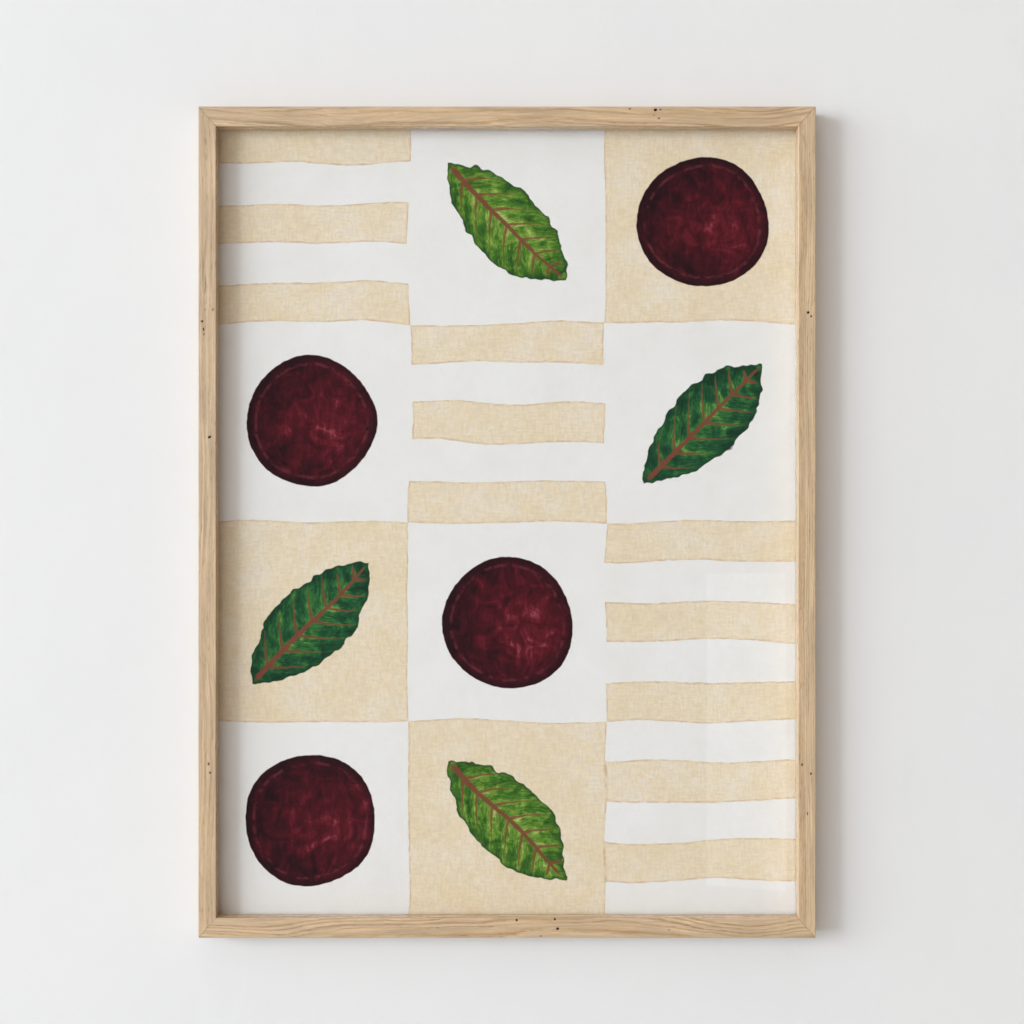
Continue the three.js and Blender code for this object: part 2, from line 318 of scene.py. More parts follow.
# Pin knots, specks and short checks in the oak's front. Each has its x and z in millimetres from
# the frame's middle, then half its length along x and z, and how dark it is.
OAK_MARKS = {
    "left_stile": [
        (-227.6, 190.0, 0.45, 15.0, 0.4),
        (-225.6, 178.0, 0.5, 7.0, 0.45),
        (-220.3, 159.1, 0.75, 1.1, 0.6),
        (-226.1, 159.1, 0.6, 0.9, 0.5),
        (-228.1, 150.4, 1.05, 1.1, 0.97),
        (-227.0, 144.2, 0.75, 1.5, 0.9),
        (-226.8, 140.7, 0.6, 1.2, 0.75),
        (-222.6, 63.7, 1.35, 1.35, 1.0),
        (-223.2, -180.8, 0.9, 1.4, 0.85),
        (-222.2, -187.4, 0.8, 1.0, 0.9),
    ],
    "top_rail": [
        (91.8, 309.2, 1.1, 0.8, 0.7),
        (110.9, 308.5, 1.45, 1.25, 1.0),
        (114.8, 308.6, 0.9, 0.8, 0.75),
        (113.6, 302.2, 1.3, 0.8, 0.7),
        (109.8, 304.6, 1.2, 0.5, 0.4),
    ],
    "right_stile": [
        (225.2, 156.9, 1.2, 1.3, 1.0),
        (227.5, 154.0, 0.95, 1.0, 0.9),
        (220.7, -181.3, 0.9, 1.1, 0.85),
        (227.3, -188.2, 0.9, 1.0, 0.9),
        (224.7, -218.0, 0.7, 1.2, 0.7),
    ],
    "bottom_rail": [
        (7.3, -297.7, 1.1, 1.1, 0.95),
        (35.8, -297.1, 1.05, 1.0, 0.95),
        (37.9, -304.1, 1.15, 1.1, 0.97),
        (25.4, -309.6, 1.0, 0.7, 0.6),
        (-52.0, -303.5, 1.5, 0.5, 0.4),
        (121.0, -305.0, 1.4, 0.5, 0.45),
    ],
}
# Each member's log. First its pith, in millimetres from the frame's middle, in depth and then
# across the member: far to the side it leaves straight lines on the face, and behind the face
# long arches. Then the rings' spacing and how far they wander, in millimetres, how clearly they
# show, how pale the wood is, and how much greyer than the others.
OAK_LOGS = {
    "left_stile": (48, -330, 3.2, 13, 0.45, 1.03, 0.06),
    "top_rail": (44, 372, 3.3, 26, 0.85, 1.0, 0.0),
    "right_stile": (-36, 318, 2.8, 12, 0.6, 1.08, 0.1),
    "bottom_rail": (62, -246, 2.7, 27, 0.85, 1.04, 0.03),
}
# How deep a mark goes into the wood, and how far the rings ripple between neighbours.
MARK_DEPTH = 3 * MM
RIPPLE_MM = 1.8


def oak_marks(tree, name, centred):
    """How dark a member's pin knots and checks make its wood, with ragged edges: 0 elsewhere."""
    ragged = add(tree, "ShaderNodeTexNoise", centred, Scale=900.0, Detail=1.0)
    ragged = add(tree, "ShaderNodeMapRange", ragged, 0.3, 0.7, -0.2, 0.2)
    marks = 0.0
    for x, z, half_x, half_z, dark in OAK_MARKS[name]:
        mark = add(tree, "ShaderNodeVectorMath", centred, (x * MM, FRONT, z * MM), operation="SUBTRACT")
        stretch = (1 / (half_x * MM), 1 / MARK_DEPTH, 1 / (half_z * MM))
        mark = add(tree, "ShaderNodeVectorMath", mark, stretch, operation="MULTIPLY")
        mark = add(tree, "ShaderNodeVectorMath", mark, operation="LENGTH")
        mark = add(tree, "ShaderNodeMath", mark, ragged, operation="ADD")
        mark = add(tree, "ShaderNodeMapRange", mark, 0.6, 1.1, dark, 0.0)
        marks = add(tree, "ShaderNodeMath", marks, mark, operation="MAXIMUM")
    return marks


def oak(name):
    """Light oak, planed and oiled. Its grain runs along the member: growth rings that show as
    soft lines or long arches, fibres, short open pores in the early wood, and a satin sheen."""
    material, tree = new_material("oak_oiled_" + name)
    place = add(tree, "ShaderNodeTexCoord").outputs["Object"]
    centred = add(tree, "ShaderNodeVectorMath", place, tuple(MIDDLE), operation="SUBTRACT")
    millimetres = add(tree, "ShaderNodeVectorMath", centred, PER_MM, operation="MULTIPLY")
    depth_mm, side_mm, spacing_mm, wander_mm, figure_share, pale, grey = OAK_LOGS[name]
    upright = "stile" in name
    pith = (side_mm, depth_mm, 0) if upright else (0, depth_mm, side_mm)
    from_pith = add(tree, "ShaderNodeVectorMath", millimetres, pith, operation="SUBTRACT")
    parts = add(tree, "ShaderNodeSeparateXYZ", from_pith).outputs
    long_axis, side_axis = ("Z", "X") if upright else ("X", "Z")
    grain = add(tree, "ShaderNodeCombineXYZ", parts[long_axis], parts["Y"], parts[side_axis])

    # The rings wander slowly along the member, and a little between neighbours.
    bend = streaks(tree, grain, 170, 90, Detail=1.5)
    ripple = streaks(tree, grain, 24, 5, Detail=2.0)
    warped = strayed(tree, grain, bend, (0, wander_mm, wander_mm))
    warped = strayed(tree, warped, ripple, (0, RIPPLE_MM, RIPPLE_MM))
    flat = add(tree, "ShaderNodeVectorMath", warped, (0, 1, 1), operation="MULTIPLY")
    radius = add(tree, "ShaderNodeVectorMath", flat, operation="LENGTH")
    uneven = add(tree, "ShaderNodeTexNoise", W=radius, Scale=1 / 7, Detail=1.0, noise_dimensions="1D")
    uneven = add(tree, "ShaderNodeMath", uneven, 2.2, operation="MULTIPLY")
    rings = add(tree, "ShaderNodeMath", radius, 1 / spacing_mm, operation="MULTIPLY")
    rings = add(tree, "ShaderNodeMath", rings, uneven, operation="ADD")
    ring = add(tree, "ShaderNodeMath", rings, operation="FRACT")

    # Early wood opens each ring with a darker row of pores; late wood closes it, dense and paler.
    ring_tone = add(
        tree, "ShaderNodeValToRGB", ring,
        stops=[(0.0, "#ae8b63"), (0.12, "#bd9a72"), (0.42, "#d6bc9a"), (0.86, "#d1b692"), (1.0, "#ae8b63")],
    )
    early = add(
        tree, "ShaderNodeValToRGB", ring,
        stops=[(0.0, "#e0e0e0"), (0.22, "#ffffff"), (0.5, "#404040"), (0.86, "#303030"), (1.0, "#e0e0e0")],
    )
    figure = streaks(tree, grain, 80, 9, Detail=1.0)
    figure = add(tree, "ShaderNodeMapRange", figure, 0.34, 0.6, 0.25 * figure_share, figure_share)
    plain_tone = add(tree, "ShaderNodeMix", figure, "#cdb08b", ring_tone, data_type="RGBA")

    # Fibres are streaks about 0.9 mm wide and 35 mm long, in bands of lighter and darker wood.
    # Pores are 0.2 mm wide in the wood and drawn 0.5 mm, so that they show.
    fibre = streaks(tree, warped, 35, 0.9, Detail=3.0, Roughness=0.6)
    band = streaks(tree, warped, 70, 3.2, Detail=1.0)
    broad = streaks(tree, grain, 60, 12, Detail=1.0)
    pore = streaks(tree, warped, 7, 0.5, Detail=1.0)
    fibre_tone = add(tree, "ShaderNodeMapRange", fibre, 0.3, 0.7, 0.91, 1.07)
    band_tone = add(tree, "ShaderNodeMapRange", band, 0.3, 0.7, 0.88, 1.1)
    broad_tone = add(tree, "ShaderNodeMapRange", broad, 0.3, 0.7, 0.93 * pale, 1.06 * pale)
    tone = add(tree, "ShaderNodeMath", fibre_tone, band_tone, operation="MULTIPLY")
    tone = add(tree, "ShaderNodeMath", tone, broad_tone, operation="MULTIPLY")
    tone = add(tree, "ShaderNodeVectorMath", tone, (1, 1 + grey / 2, 1 + grey), operation="MULTIPLY")
    pore = add(tree, "ShaderNodeMapRange", pore, 0.56, 0.68, 0.0, 1.0)
    pore = add(tree, "ShaderNodeMath", pore, early, operation="MULTIPLY")
    marks = oak_marks(tree, name, centred)

    wood = add(tree, "ShaderNodeVectorMath", plain_tone, tone, operation="MULTIPLY")
    pore_dark = add(tree, "ShaderNodeMath", pore, 0.42, operation="MULTIPLY")
    wood = add(tree, "ShaderNodeMix", pore_dark, wood, "#7d5a38", data_type="RGBA")
    wood = add(tree, "ShaderNodeMix", marks, wood, "#1f1209", data_type="RGBA")

    height = add(tree, "ShaderNodeMath", fibre, 0.25, operation="MULTIPLY")
    height = add(tree, "ShaderNodeMath", height, pore, operation="SUBTRACT")
    height = add(tree, "ShaderNodeMath", height, marks, operation="SUBTRACT")
    bump = add(tree, "ShaderNodeBump", Strength=0.35, Distance=0.12 * MM, Height=height)
    rough = add(tree, "ShaderNodeMapRange", fibre, 0.3, 0.7, 0.21, 0.31)
    sheen = add(tree, "ShaderNodeMapRange", marks, 0.0, 1.0, 0.5, 0.1)
    show(tree, add(
        tree, "ShaderNodeBsdfPrincipled",
        Base_Color=wood, Roughness=rough, IOR=1.5, Specular_IOR_Level=sheen, Normal=bump,
    ))
    return material


def oak_mouldings():
    """The four members, each cut from a board of its own."""
    for name in SIDES:
        finished("oak_" + name, moulding(name), oak(name), "oak", name)


# ---- glass, print and back --------------------------------------------------------------------

def slab(node, arris):
    """A thin upright slab in a node's place, with eased edges."""
    low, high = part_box(node)
    body = bmesh.new()
    bmesh.ops.create_cube(body, size=1)
    for vertex in body.verts:
        vertex.co = Vector(
            (low[k] + high[k]) / 2 + vertex.co[k] * (high[k] - low[k]) for k in range(3)
        )
    bmesh.ops.bevel(
        body, geom=list(body.edges), offset=arris, segments=3, profile=0.5,
        affect="EDGES", clamp_overlap=True,
    )
    mesh = bpy.data.meshes.new(node + "_slab")
    body.to_mesh(mesh)
    body.free()
    return smoothed(mesh)


def picture_glass():
    """Float glass, cut and left clear: colourless, with a mirror-smooth face whose reflections
    are only a little drawn by the sheet's slight roll."""
    material, tree = new_material("float_glass")
    place = add(tree, "ShaderNodeTexCoord").outputs["Object"]
    roll = add(tree, "ShaderNodeTexNoise", place, Scale=7.0, Detail=0.0)
    bump = add(tree, "ShaderNodeBump", Strength=0.05, Distance=0.6 * MM, Height=roll)
    glass = add(tree, "ShaderNodeBsdfGlass", Color="#fdfdfd", Roughness=0.0, IOR=1.5, Normal=bump)
    clear = add(tree, "ShaderNodeBsdfTransparent")
    rays = add(tree, "ShaderNodeLightPath").outputs
    through = add(
        tree, "ShaderNodeMath", rays["Is Shadow Ray"], rays["Is Diffuse Ray"], operation="MAXIMUM",
    )
    show(tree, add(tree, "ShaderNodeMixShader", through, glass, clear))
    return material


# The paper's mesh, how far it lifts, and its cockles in a metre across and up.
PRINT_STEP = 6 * MM
COCKLE = 0.1 * MM
COCKLES_ACROSS, COCKLES_UP = 9, 7

# The print's bake map, in shares of its side. The front fills it from the lower left, the back
# stands small at its right, and the four edges are strips above the back.
MAP_MARGIN = 0.01
FRONT_SCALE, BACK_SCALE = 0.98, 0.3
EDGES_LEFT, EDGES_BOTTOM = 0.77, 0.4
EDGE_LENGTH, EDGE_HEIGHT = 0.2, 0.015


def print_sheet():
    """The paper: a thin sheet that has cockled a little between the glass and the back. Most
    of its bake map is its front."""
    low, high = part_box("print_sheet")
    wide, tall = high.x - low.x, high.z - low.z
    columns, rows = round(wide / PRINT_STEP), round(tall / PRINT_STEP)
    vertices, faces, maps = [], [], []
    for y in (low.y, high.y):
        for r in range(rows + 1):
            for c in range(columns + 1):
                x, z = low.x + wide * c / columns, low.z + tall * r / rows
                lift = COCKLE * noise.noise(Vector((x * COCKLES_ACROSS, 2.0, z * COCKLES_UP)))
                vertices.append((x, y + lift, z))
    stride = columns + 1
    layer_size = (rows + 1) * stride
    share = wide / tall
    for side, scale, left in ((0, FRONT_SCALE, MAP_MARGIN), (1, BACK_SCALE, share + 2 * MAP_MARGIN)):
        for r in range(rows):
            for c in range(columns):
                spots = [(c, r), (c + 1, r), (c + 1, r + 1), (c, r + 1)]
                spots = spots[::-1] if side else spots
                faces.append([side * layer_size + v * stride + u for u, v in spots])
                maps.append([
                    (left + scale * share * u / columns, MAP_MARGIN + scale * v / rows) for u, v in spots
                ])
    edges = [
        list(range(columns + 1)),
        [columns + r * stride for r in range(rows + 1)],
        [rows * stride + c for c in range(columns, -1, -1)],
        [r * stride for r in range(rows, -1, -1)],
    ]
    for k, edge in enumerate(edges):
        bottom = EDGES_BOTTOM + 2 * EDGE_HEIGHT * k
        top = bottom + EDGE_HEIGHT
        for i, (a, b) in enumerate(zip(edge, edge[1:])):
            faces.append([b, a, a + layer_size, b + layer_size])
            left = EDGES_LEFT + EDGE_LENGTH * i / len(edge)
            right = EDGES_LEFT + EDGE_LENGTH * (i + 1) / len(edge)
            maps.append([(right, bottom), (left, bottom), (left, top), (right, top)])
    mesh = bpy.data.meshes.new("art_paper")
    mesh.from_pydata(vertices, [], faces)
    layer = mesh.uv_layers.new(name="OFBake")
    for face, spots in zip(mesh.polygons, maps):
        for loop, spot in zip(face.loop_indices, spots):
            layer.data[loop].uv = spot
    return smoothed(mesh)


# The painted pattern: a grid of cells, each with a disc, a leaf or bands. The leaves' numbers
# are odd, and stand one to each side of the bands' number, which leans them either way.
DISC, LIGHT_LEAF, BANDED, DARK_LEAF = range(4)
PAINTED = [
    (BANDED, LIGHT_LEAF, DISC),
    (DISC, BANDED, DARK_LEAF),
    (DARK_LEAF, DISC, BANDED),
    (DISC, LIGHT_LEAF, BANDED),
]
CELL_COLUMNS = 3
CELL_ROWS = 4
BLEED_MM = 5
CELL_WIDTH_MM = (OPENING_WIDTH / MM + 2 * BLEED_MM) / CELL_COLUMNS
CELL_HEIGHT_MM = (OPENING_HEIGHT / MM + 2 * BLEED_MM) / CELL_ROWS
BANDS = 5
BAND_MM = CELL_HEIGHT_MM / BANDS
DISC_RADIUS_MM = 49.5
LEAF_HALF_LENGTH_MM = 64.0
LEAF_HALF_WIDTH_MM = 27.7
VEIN_SPACING_MM = 15.4
# The paint thins to nothing between these distances from its outline.
PAINT_EDGE_MM = (-0.45, 0.1)


def painted_cells(tree, drawn):
    """The cell that a place is in, as its column and row, the place from that cell's middle,
    and what is painted there."""
    cell_mm = (CELL_WIDTH_MM, CELL_HEIGHT_MM, 1)
    last = (CELL_COLUMNS - 0.001, CELL_ROWS - 0.001, 0)
    cells = add(tree, "ShaderNodeVectorMath", drawn, cell_mm, operation="DIVIDE")
    cells = add(tree, "ShaderNodeVectorMath", cells, (0, 0, 0), operation="MAXIMUM")
    cells = add(tree, "ShaderNodeVectorMath", cells, last, operation="MINIMUM")
    index = add(tree, "ShaderNodeVectorMath", cells, operation="FLOOR")
    local = add(tree, "ShaderNodeVectorMath", cells, operation="FRACTION")
    local = add(tree, "ShaderNodeVectorMath", local, (-0.5, -0.5, 0), operation="ADD")
    local = add(tree, "ShaderNodeVectorMath", local, cell_mm, operation="MULTIPLY")
    cell = add(tree, "ShaderNodeVectorMath", index, (1, CELL_COLUMNS, 0), operation="DOT_PRODUCT")
    motif = 0
    for number, painted in enumerate(what for row in PAINTED for what in row):
        here = add(tree, "ShaderNodeMath", cell, number, 0.5, operation="COMPARE")
        here = add(tree, "ShaderNodeMath", here, painted, operation="MULTIPLY")
        motif = add(tree, "ShaderNodeMath", motif, here, operation="ADD")
    return index, local, motif


def painted_ground(tree, drawn, sheet, mottle, index, local, motif):
    """The ground's colour, and where it is tan: tan and off-white squares in turn, and tan bands
    in the banded cells. The tan pools darker along its edges."""
    is_banded = add(tree, "ShaderNodeMath", motif, BANDED, 0.5, operation="COMPARE")
    apart = add(tree, "ShaderNodeSeparateXYZ", drawn).outputs
    down = add(tree, "ShaderNodeSeparateXYZ", local).outputs["Y"]
    band = add(tree, "ShaderNodeMath", down, CELL_HEIGHT_MM / 2, operation="ADD")
    band = add(tree, "ShaderNodeMath", band, BAND_MM, operation="DIVIDE")
    band = add(tree, "ShaderNodeMath", band, operation="FLOOR")
    band = add(tree, "ShaderNodeMath", band, is_banded, operation="MULTIPLY")
    square = add(tree, "ShaderNodeVectorMath", index, (1, 1, 0), operation="DOT_PRODUCT")
    square = add(tree, "ShaderNodeMath", square, band, operation="ADD")
    is_tan = add(tree, "ShaderNodeMath", square, 1, operation="ADD")
    is_tan = add(tree, "ShaderNodeMath", is_tan, 2, operation="FLOORED_MODULO")
    period = add(tree, "ShaderNodeMapRange", is_banded, 0, 1, CELL_HEIGHT_MM / 2, BAND_MM / 2)
    edge_across = add(tree, "ShaderNodeMath", apart["X"], CELL_WIDTH_MM / 2, operation="PINGPONG")
    edge_down = add(tree, "ShaderNodeMath", apart["Y"], period, operation="PINGPONG")
    edge = add(tree, "ShaderNodeMath", edge_across, edge_down, operation="MINIMUM")
    wet_edge = add(tree, "ShaderNodeMapRange", edge, 0.1, 1.9, 1.0, 0.0, interpolation_type="SMOOTHSTEP")

    # The washes: wet blooms a few centimetres wide, a finer mottle, and flecks.
    bloom = add(tree, "ShaderNodeTexNoise", sheet, Scale=1 / 30, Detail=2.5, Distortion=0.2)
    fleck = add(tree, "ShaderNodeTexNoise", sheet, Scale=1 / 1.7, Detail=2.0, Roughness=0.7)
    wash = 0.0
    for pattern, share in ((mottle, 0.4), (bloom, 0.7), (fleck, 0.8)):
        part = add(tree, "ShaderNodeMath", pattern, share, operation="MULTIPLY")
        wash = add(tree, "ShaderNodeMath", wash, part, operation="ADD")
    wash = add(tree, "ShaderNodeMapRange", wash, 0.67, 1.25, 0.0, 1.0)
    tan = add(
        tree, "ShaderNodeValToRGB", wash,
        stops=[(0.0, "#ebd9b5"), (0.45, "#eedfc0"), (0.7, "#f0e4cd"), (1.0, "#f0e7d7")],
    )
    patchy = add(tree, "ShaderNodeMapRange", mottle, 0.4, 0.62, 0.12, 0.6)
    pooled = add(tree, "ShaderNodeMath", wet_edge, patchy, operation="MULTIPLY")
    tan = add(tree, "ShaderNodeMix", pooled, tan, "#c79a62", data_type="RGBA")
    white = add(
        tree, "ShaderNodeValToRGB", wash,
        stops=[(0.0, "#efefea"), (0.5, "#f3f3ef"), (1.0, "#f6f7f4")],
    )
    return add(tree, "ShaderNodeMix", is_tan, white, tan, data_type="RGBA"), is_tan


def painted_disc(tree, local, mottle, blot, seed):
    """A disc's colour, and where it is. It is modelled like a ball: strokes that follow its
    sides from top to bottom over a blotted wash, dark to the left, glowing right of the middle
    where the paint is thin, and darker where it pooled at the rim, with a paler line lifted out
    inside it."""
    parts = add(tree, "ShaderNodeSeparateXYZ", local).outputs
    right, down = parts["X"], parts["Y"]
    from_middle = add(tree, "ShaderNodeVectorMath", local, operation="LENGTH")
    disc = add(tree, "ShaderNodeMath", from_middle, DISC_RADIUS_MM, operation="SUBTRACT")
    height = add(tree, "ShaderNodeMath", down, 1 / (DISC_RADIUS_MM * 1.06), operation="MULTIPLY")
    chord = add(tree, "ShaderNodeMath", height, height, operation="MULTIPLY")
    chord = add(tree, "ShaderNodeMath", 1.0, chord, operation="SUBTRACT")
    chord = add(tree, "ShaderNodeClamp", chord, 0.02, 1.0)
    chord = add(tree, "ShaderNodeMath", chord, operation="SQRT")
    round_side = add(tree, "ShaderNodeMath", right, chord, operation="DIVIDE")
    across_stroke = add(tree, "ShaderNodeMath", round_side, 1 / 5, operation="MULTIPLY")
    along_stroke = add(tree, "ShaderNodeMath", down, 1 / 17, operation="MULTIPLY")
    stroke_place = add(tree, "ShaderNodeCombineXYZ", across_stroke, along_stroke, seed)
    stroke = add(
        tree, "ShaderNodeTexNoise", stroke_place,
        Scale=1.0, Detail=4.0, Roughness=0.62, Distortion=0.9,
    )
    depth = add(tree, "ShaderNodeMath", stroke, 0.7, operation="MULTIPLY")
    depth = add(tree, "ShaderNodeMath", depth, blot, operation="ADD")
    glow = add(tree, "ShaderNodeVectorMath", local, (15, 4, 0), operation="DISTANCE")
    glow = add(tree, "ShaderNodeMapRange", glow, 8.0, 58.0, 0.22, -0.16)
    depth = add(tree, "ShaderNodeMath", depth, glow, operation="ADD")
    depth = add(tree, "ShaderNodeMapRange", depth, 0.58, 1.36, 0.0, 1.0)
    burgundy = add(
        tree, "ShaderNodeValToRGB", depth,
        stops=[(0.0, "#1c0308"), (0.3, "#340812"), (0.55, "#4b0d17"), (0.8, "#661724"), (1.0, "#92404a")],
    )
    rim = add(tree, "ShaderNodeMapRange", disc, -6.5, -1.5, 0.0, 0.72, interpolation_type="SMOOTHSTEP")
    burgundy = add(tree, "ShaderNodeMix", rim, burgundy, "#25060c", data_type="RGBA")
    lifted = add(tree, "ShaderNodeMath", disc, 6.8, operation="ADD")
    lifted = add(tree, "ShaderNodeMath", lifted, operation="ABSOLUTE")
    lifted = add(tree, "ShaderNodeMapRange", lifted, 0.3, 1.8, 1.0, 0.0, interpolation_type="SMOOTHSTEP")
    patches = add(tree, "ShaderNodeMapRange", mottle, 0.42, 0.62, 0.0, 0.34)
    lifted = add(tree, "ShaderNodeMath", lifted, patches, operation="MULTIPLY")
    burgundy = add(tree, "ShaderNodeMix", lifted, burgundy, "#8e3c46", data_type="RGBA")
    return burgundy, add(tree, "ShaderNodeMapRange", disc, *PAINT_EDGE_MM, 1.0, 0.0)


def painted_leaf(tree, drawn, local, motif, blot, seed):
    """A leaf's colour, and where it is: two arcs that meet at its tips, turned one way or the
    other, with a rib and side veins that thin out towards the margin. Its greens are blots and
    short strokes laid from the rib to the margin, lightest beside the rib and the veins."""
    lean = add(tree, "ShaderNodeMath", motif, -BANDED, operation="ADD")
    lean = add(tree, "ShaderNodeMath", lean, math.radians(45), operation="MULTIPLY")
    leaf_place = add(
        tree, "ShaderNodeVectorRotate", local, (0, 0, 0), (0, 0, 1), lean, rotation_type="AXIS_ANGLE",
    )
    parts = add(tree, "ShaderNodeSeparateXYZ", leaf_place).outputs
    along, across = parts["X"], parts["Y"]
    away = add(tree, "ShaderNodeMath", across, operation="ABSOLUTE")
    arc_radius = (LEAF_HALF_LENGTH_MM ** 2 + LEAF_HALF_WIDTH_MM ** 2) / (2 * LEAF_HALF_WIDTH_MM)
    offset = add(tree, "ShaderNodeMath", away, arc_radius - LEAF_HALF_WIDTH_MM, operation="ADD")
    arc = add(tree, "ShaderNodeCombineXYZ", along, offset, 0)
    arc = add(tree, "ShaderNodeVectorMath", arc, operation="LENGTH")
    leaf = add(tree, "ShaderNodeMath", arc, arc_radius, operation="SUBTRACT")
    wave = add(tree, "ShaderNodeTexNoise", drawn, Scale=1 / 11, Detail=1.0)
    wave = add(tree, "ShaderNodeMapRange", wave, 0.3, 0.7, -1.6, 1.6)
    leaf = add(tree, "ShaderNodeMath", leaf, wave, operation="ADD")

    # The side veins slant forwards, and bend a little more as they go.
    slant = add(tree, "ShaderNodeMath", away, 0.012, operation="MULTIPLY")
    slant = add(tree, "ShaderNodeMath", slant, 0.65, operation="ADD")
    slant = add(tree, "ShaderNodeMath", slant, away, operation="MULTIPLY")
    slant = add(tree, "ShaderNodeMath", along, slant, operation="SUBTRACT")
    from_vein = add(tree, "ShaderNodeMath", slant, VEIN_SPACING_MM / 2, operation="PINGPONG")
    vein_width = add(tree, "ShaderNodeMapRange", away, 0.0, 22.0, 1.9, 0.3)
    vein = add(tree, "ShaderNodeMath", from_vein, vein_width, operation="DIVIDE")
    vein = add(tree, "ShaderNodeMapRange", vein, 0.6, 1.1, 0.85, 0.0)
    rib_width = add(tree, "ShaderNodeMapRange", along, -60.0, 60.0, 2.4, 1.0)
    rib = add(tree, "ShaderNodeMath", away, rib_width, operation="DIVIDE")
    rib = add(tree, "ShaderNodeMapRange", rib, 0.75, 1.1, 0.95, 0.0)
    veins = add(tree, "ShaderNodeMath", vein, rib, operation="MAXIMUM")
    inside = add(tree, "ShaderNodeMapRange", leaf, -5.0, -2.0, 1.0, 0.0)
    veins = add(tree, "ShaderNodeMath", veins, inside, operation="MULTIPLY")

    dab_along = add(tree, "ShaderNodeMath", slant, 1 / 3.4, operation="MULTIPLY")
    dab_out = add(tree, "ShaderNodeMath", across, 1 / 8, operation="MULTIPLY")
    dab_place = add(tree, "ShaderNodeCombineXYZ", dab_along, dab_out, seed)
    dab = add(
        tree, "ShaderNodeTexNoise", dab_place,
        Scale=1.0, Detail=3.0, Roughness=0.6, Distortion=1.6,
    )
    between = add(tree, "ShaderNodeMapRange", from_vein, 1.0, VEIN_SPACING_MM / 2, 0.1, -0.06)
    outwards = add(tree, "ShaderNodeMapRange", leaf, -26.0, -2.0, 0.12, -0.16)
    shade = dab
    for part in (between, outwards, blot):
        shade = add(tree, "ShaderNodeMath", shade, part, operation="ADD")
    shade = add(tree, "ShaderNodeMapRange", shade, 0.72, 1.42, 0.0, 1.0)
    light_leaf = add(
        tree, "ShaderNodeValToRGB", shade,
        stops=[(0.0, "#244c1c"), (0.35, "#447423"), (0.7, "#7a9f3c"), (1.0, "#b6c672")],
    )
    dark_leaf = add(
        tree, "ShaderNodeValToRGB", shade,
        stops=[(0.0, "#0f3520"), (0.4, "#1b5230"), (0.75, "#3c7836"), (1.0, "#7aa350")],
    )
    is_dark = add(tree, "ShaderNodeMath", motif, DARK_LEAF, 0.5, operation="COMPARE")
    green = add(tree, "ShaderNodeMix", is_dark, light_leaf, dark_leaf, data_type="RGBA")
    green = add(tree, "ShaderNodeMix", veins, green, "#7c4634", data_type="RGBA")
    margin = add(tree, "ShaderNodeMapRange", leaf, -2.6, -0.3, 0.0, 0.75, interpolation_type="SMOOTHSTEP")
    green = add(tree, "ShaderNodeMix", margin, green, "#153a22", data_type="RGBA")
    return green, add(tree, "ShaderNodeMapRange", leaf, *PAINT_EDGE_MM, 1.0, 0.0)


def paper_tooth(tree, sheet):
    """The paper's tooth, a millimetre or so across. The mould's felt has left it in faint
    upright and level rows, drawn twice as wide as they are so that they show."""
    tooth = add(tree, "ShaderNodeTexNoise", sheet, Scale=1 / 0.9, Detail=3.0, Roughness=0.7)
    for rows_mm in ((1.5, 9), (9, 1.5)):
        stretch = (1 / rows_mm[0], 1 / rows_mm[1], 0)
        rows = add(tree, "ShaderNodeVectorMath", sheet, stretch, operation="MULTIPLY")
        felt = add(tree, "ShaderNodeTexNoise", rows, Scale=1.0, Detail=1.0)
        felt = add(tree, "ShaderNodeMath", felt, 0.5, operation="SUBTRACT")
        felt = add(tree, "ShaderNodeMath", felt, 1.1, operation="MULTIPLY")
        tooth = add(tree, "ShaderNodeMath", tooth, felt, operation="ADD")
    return tooth


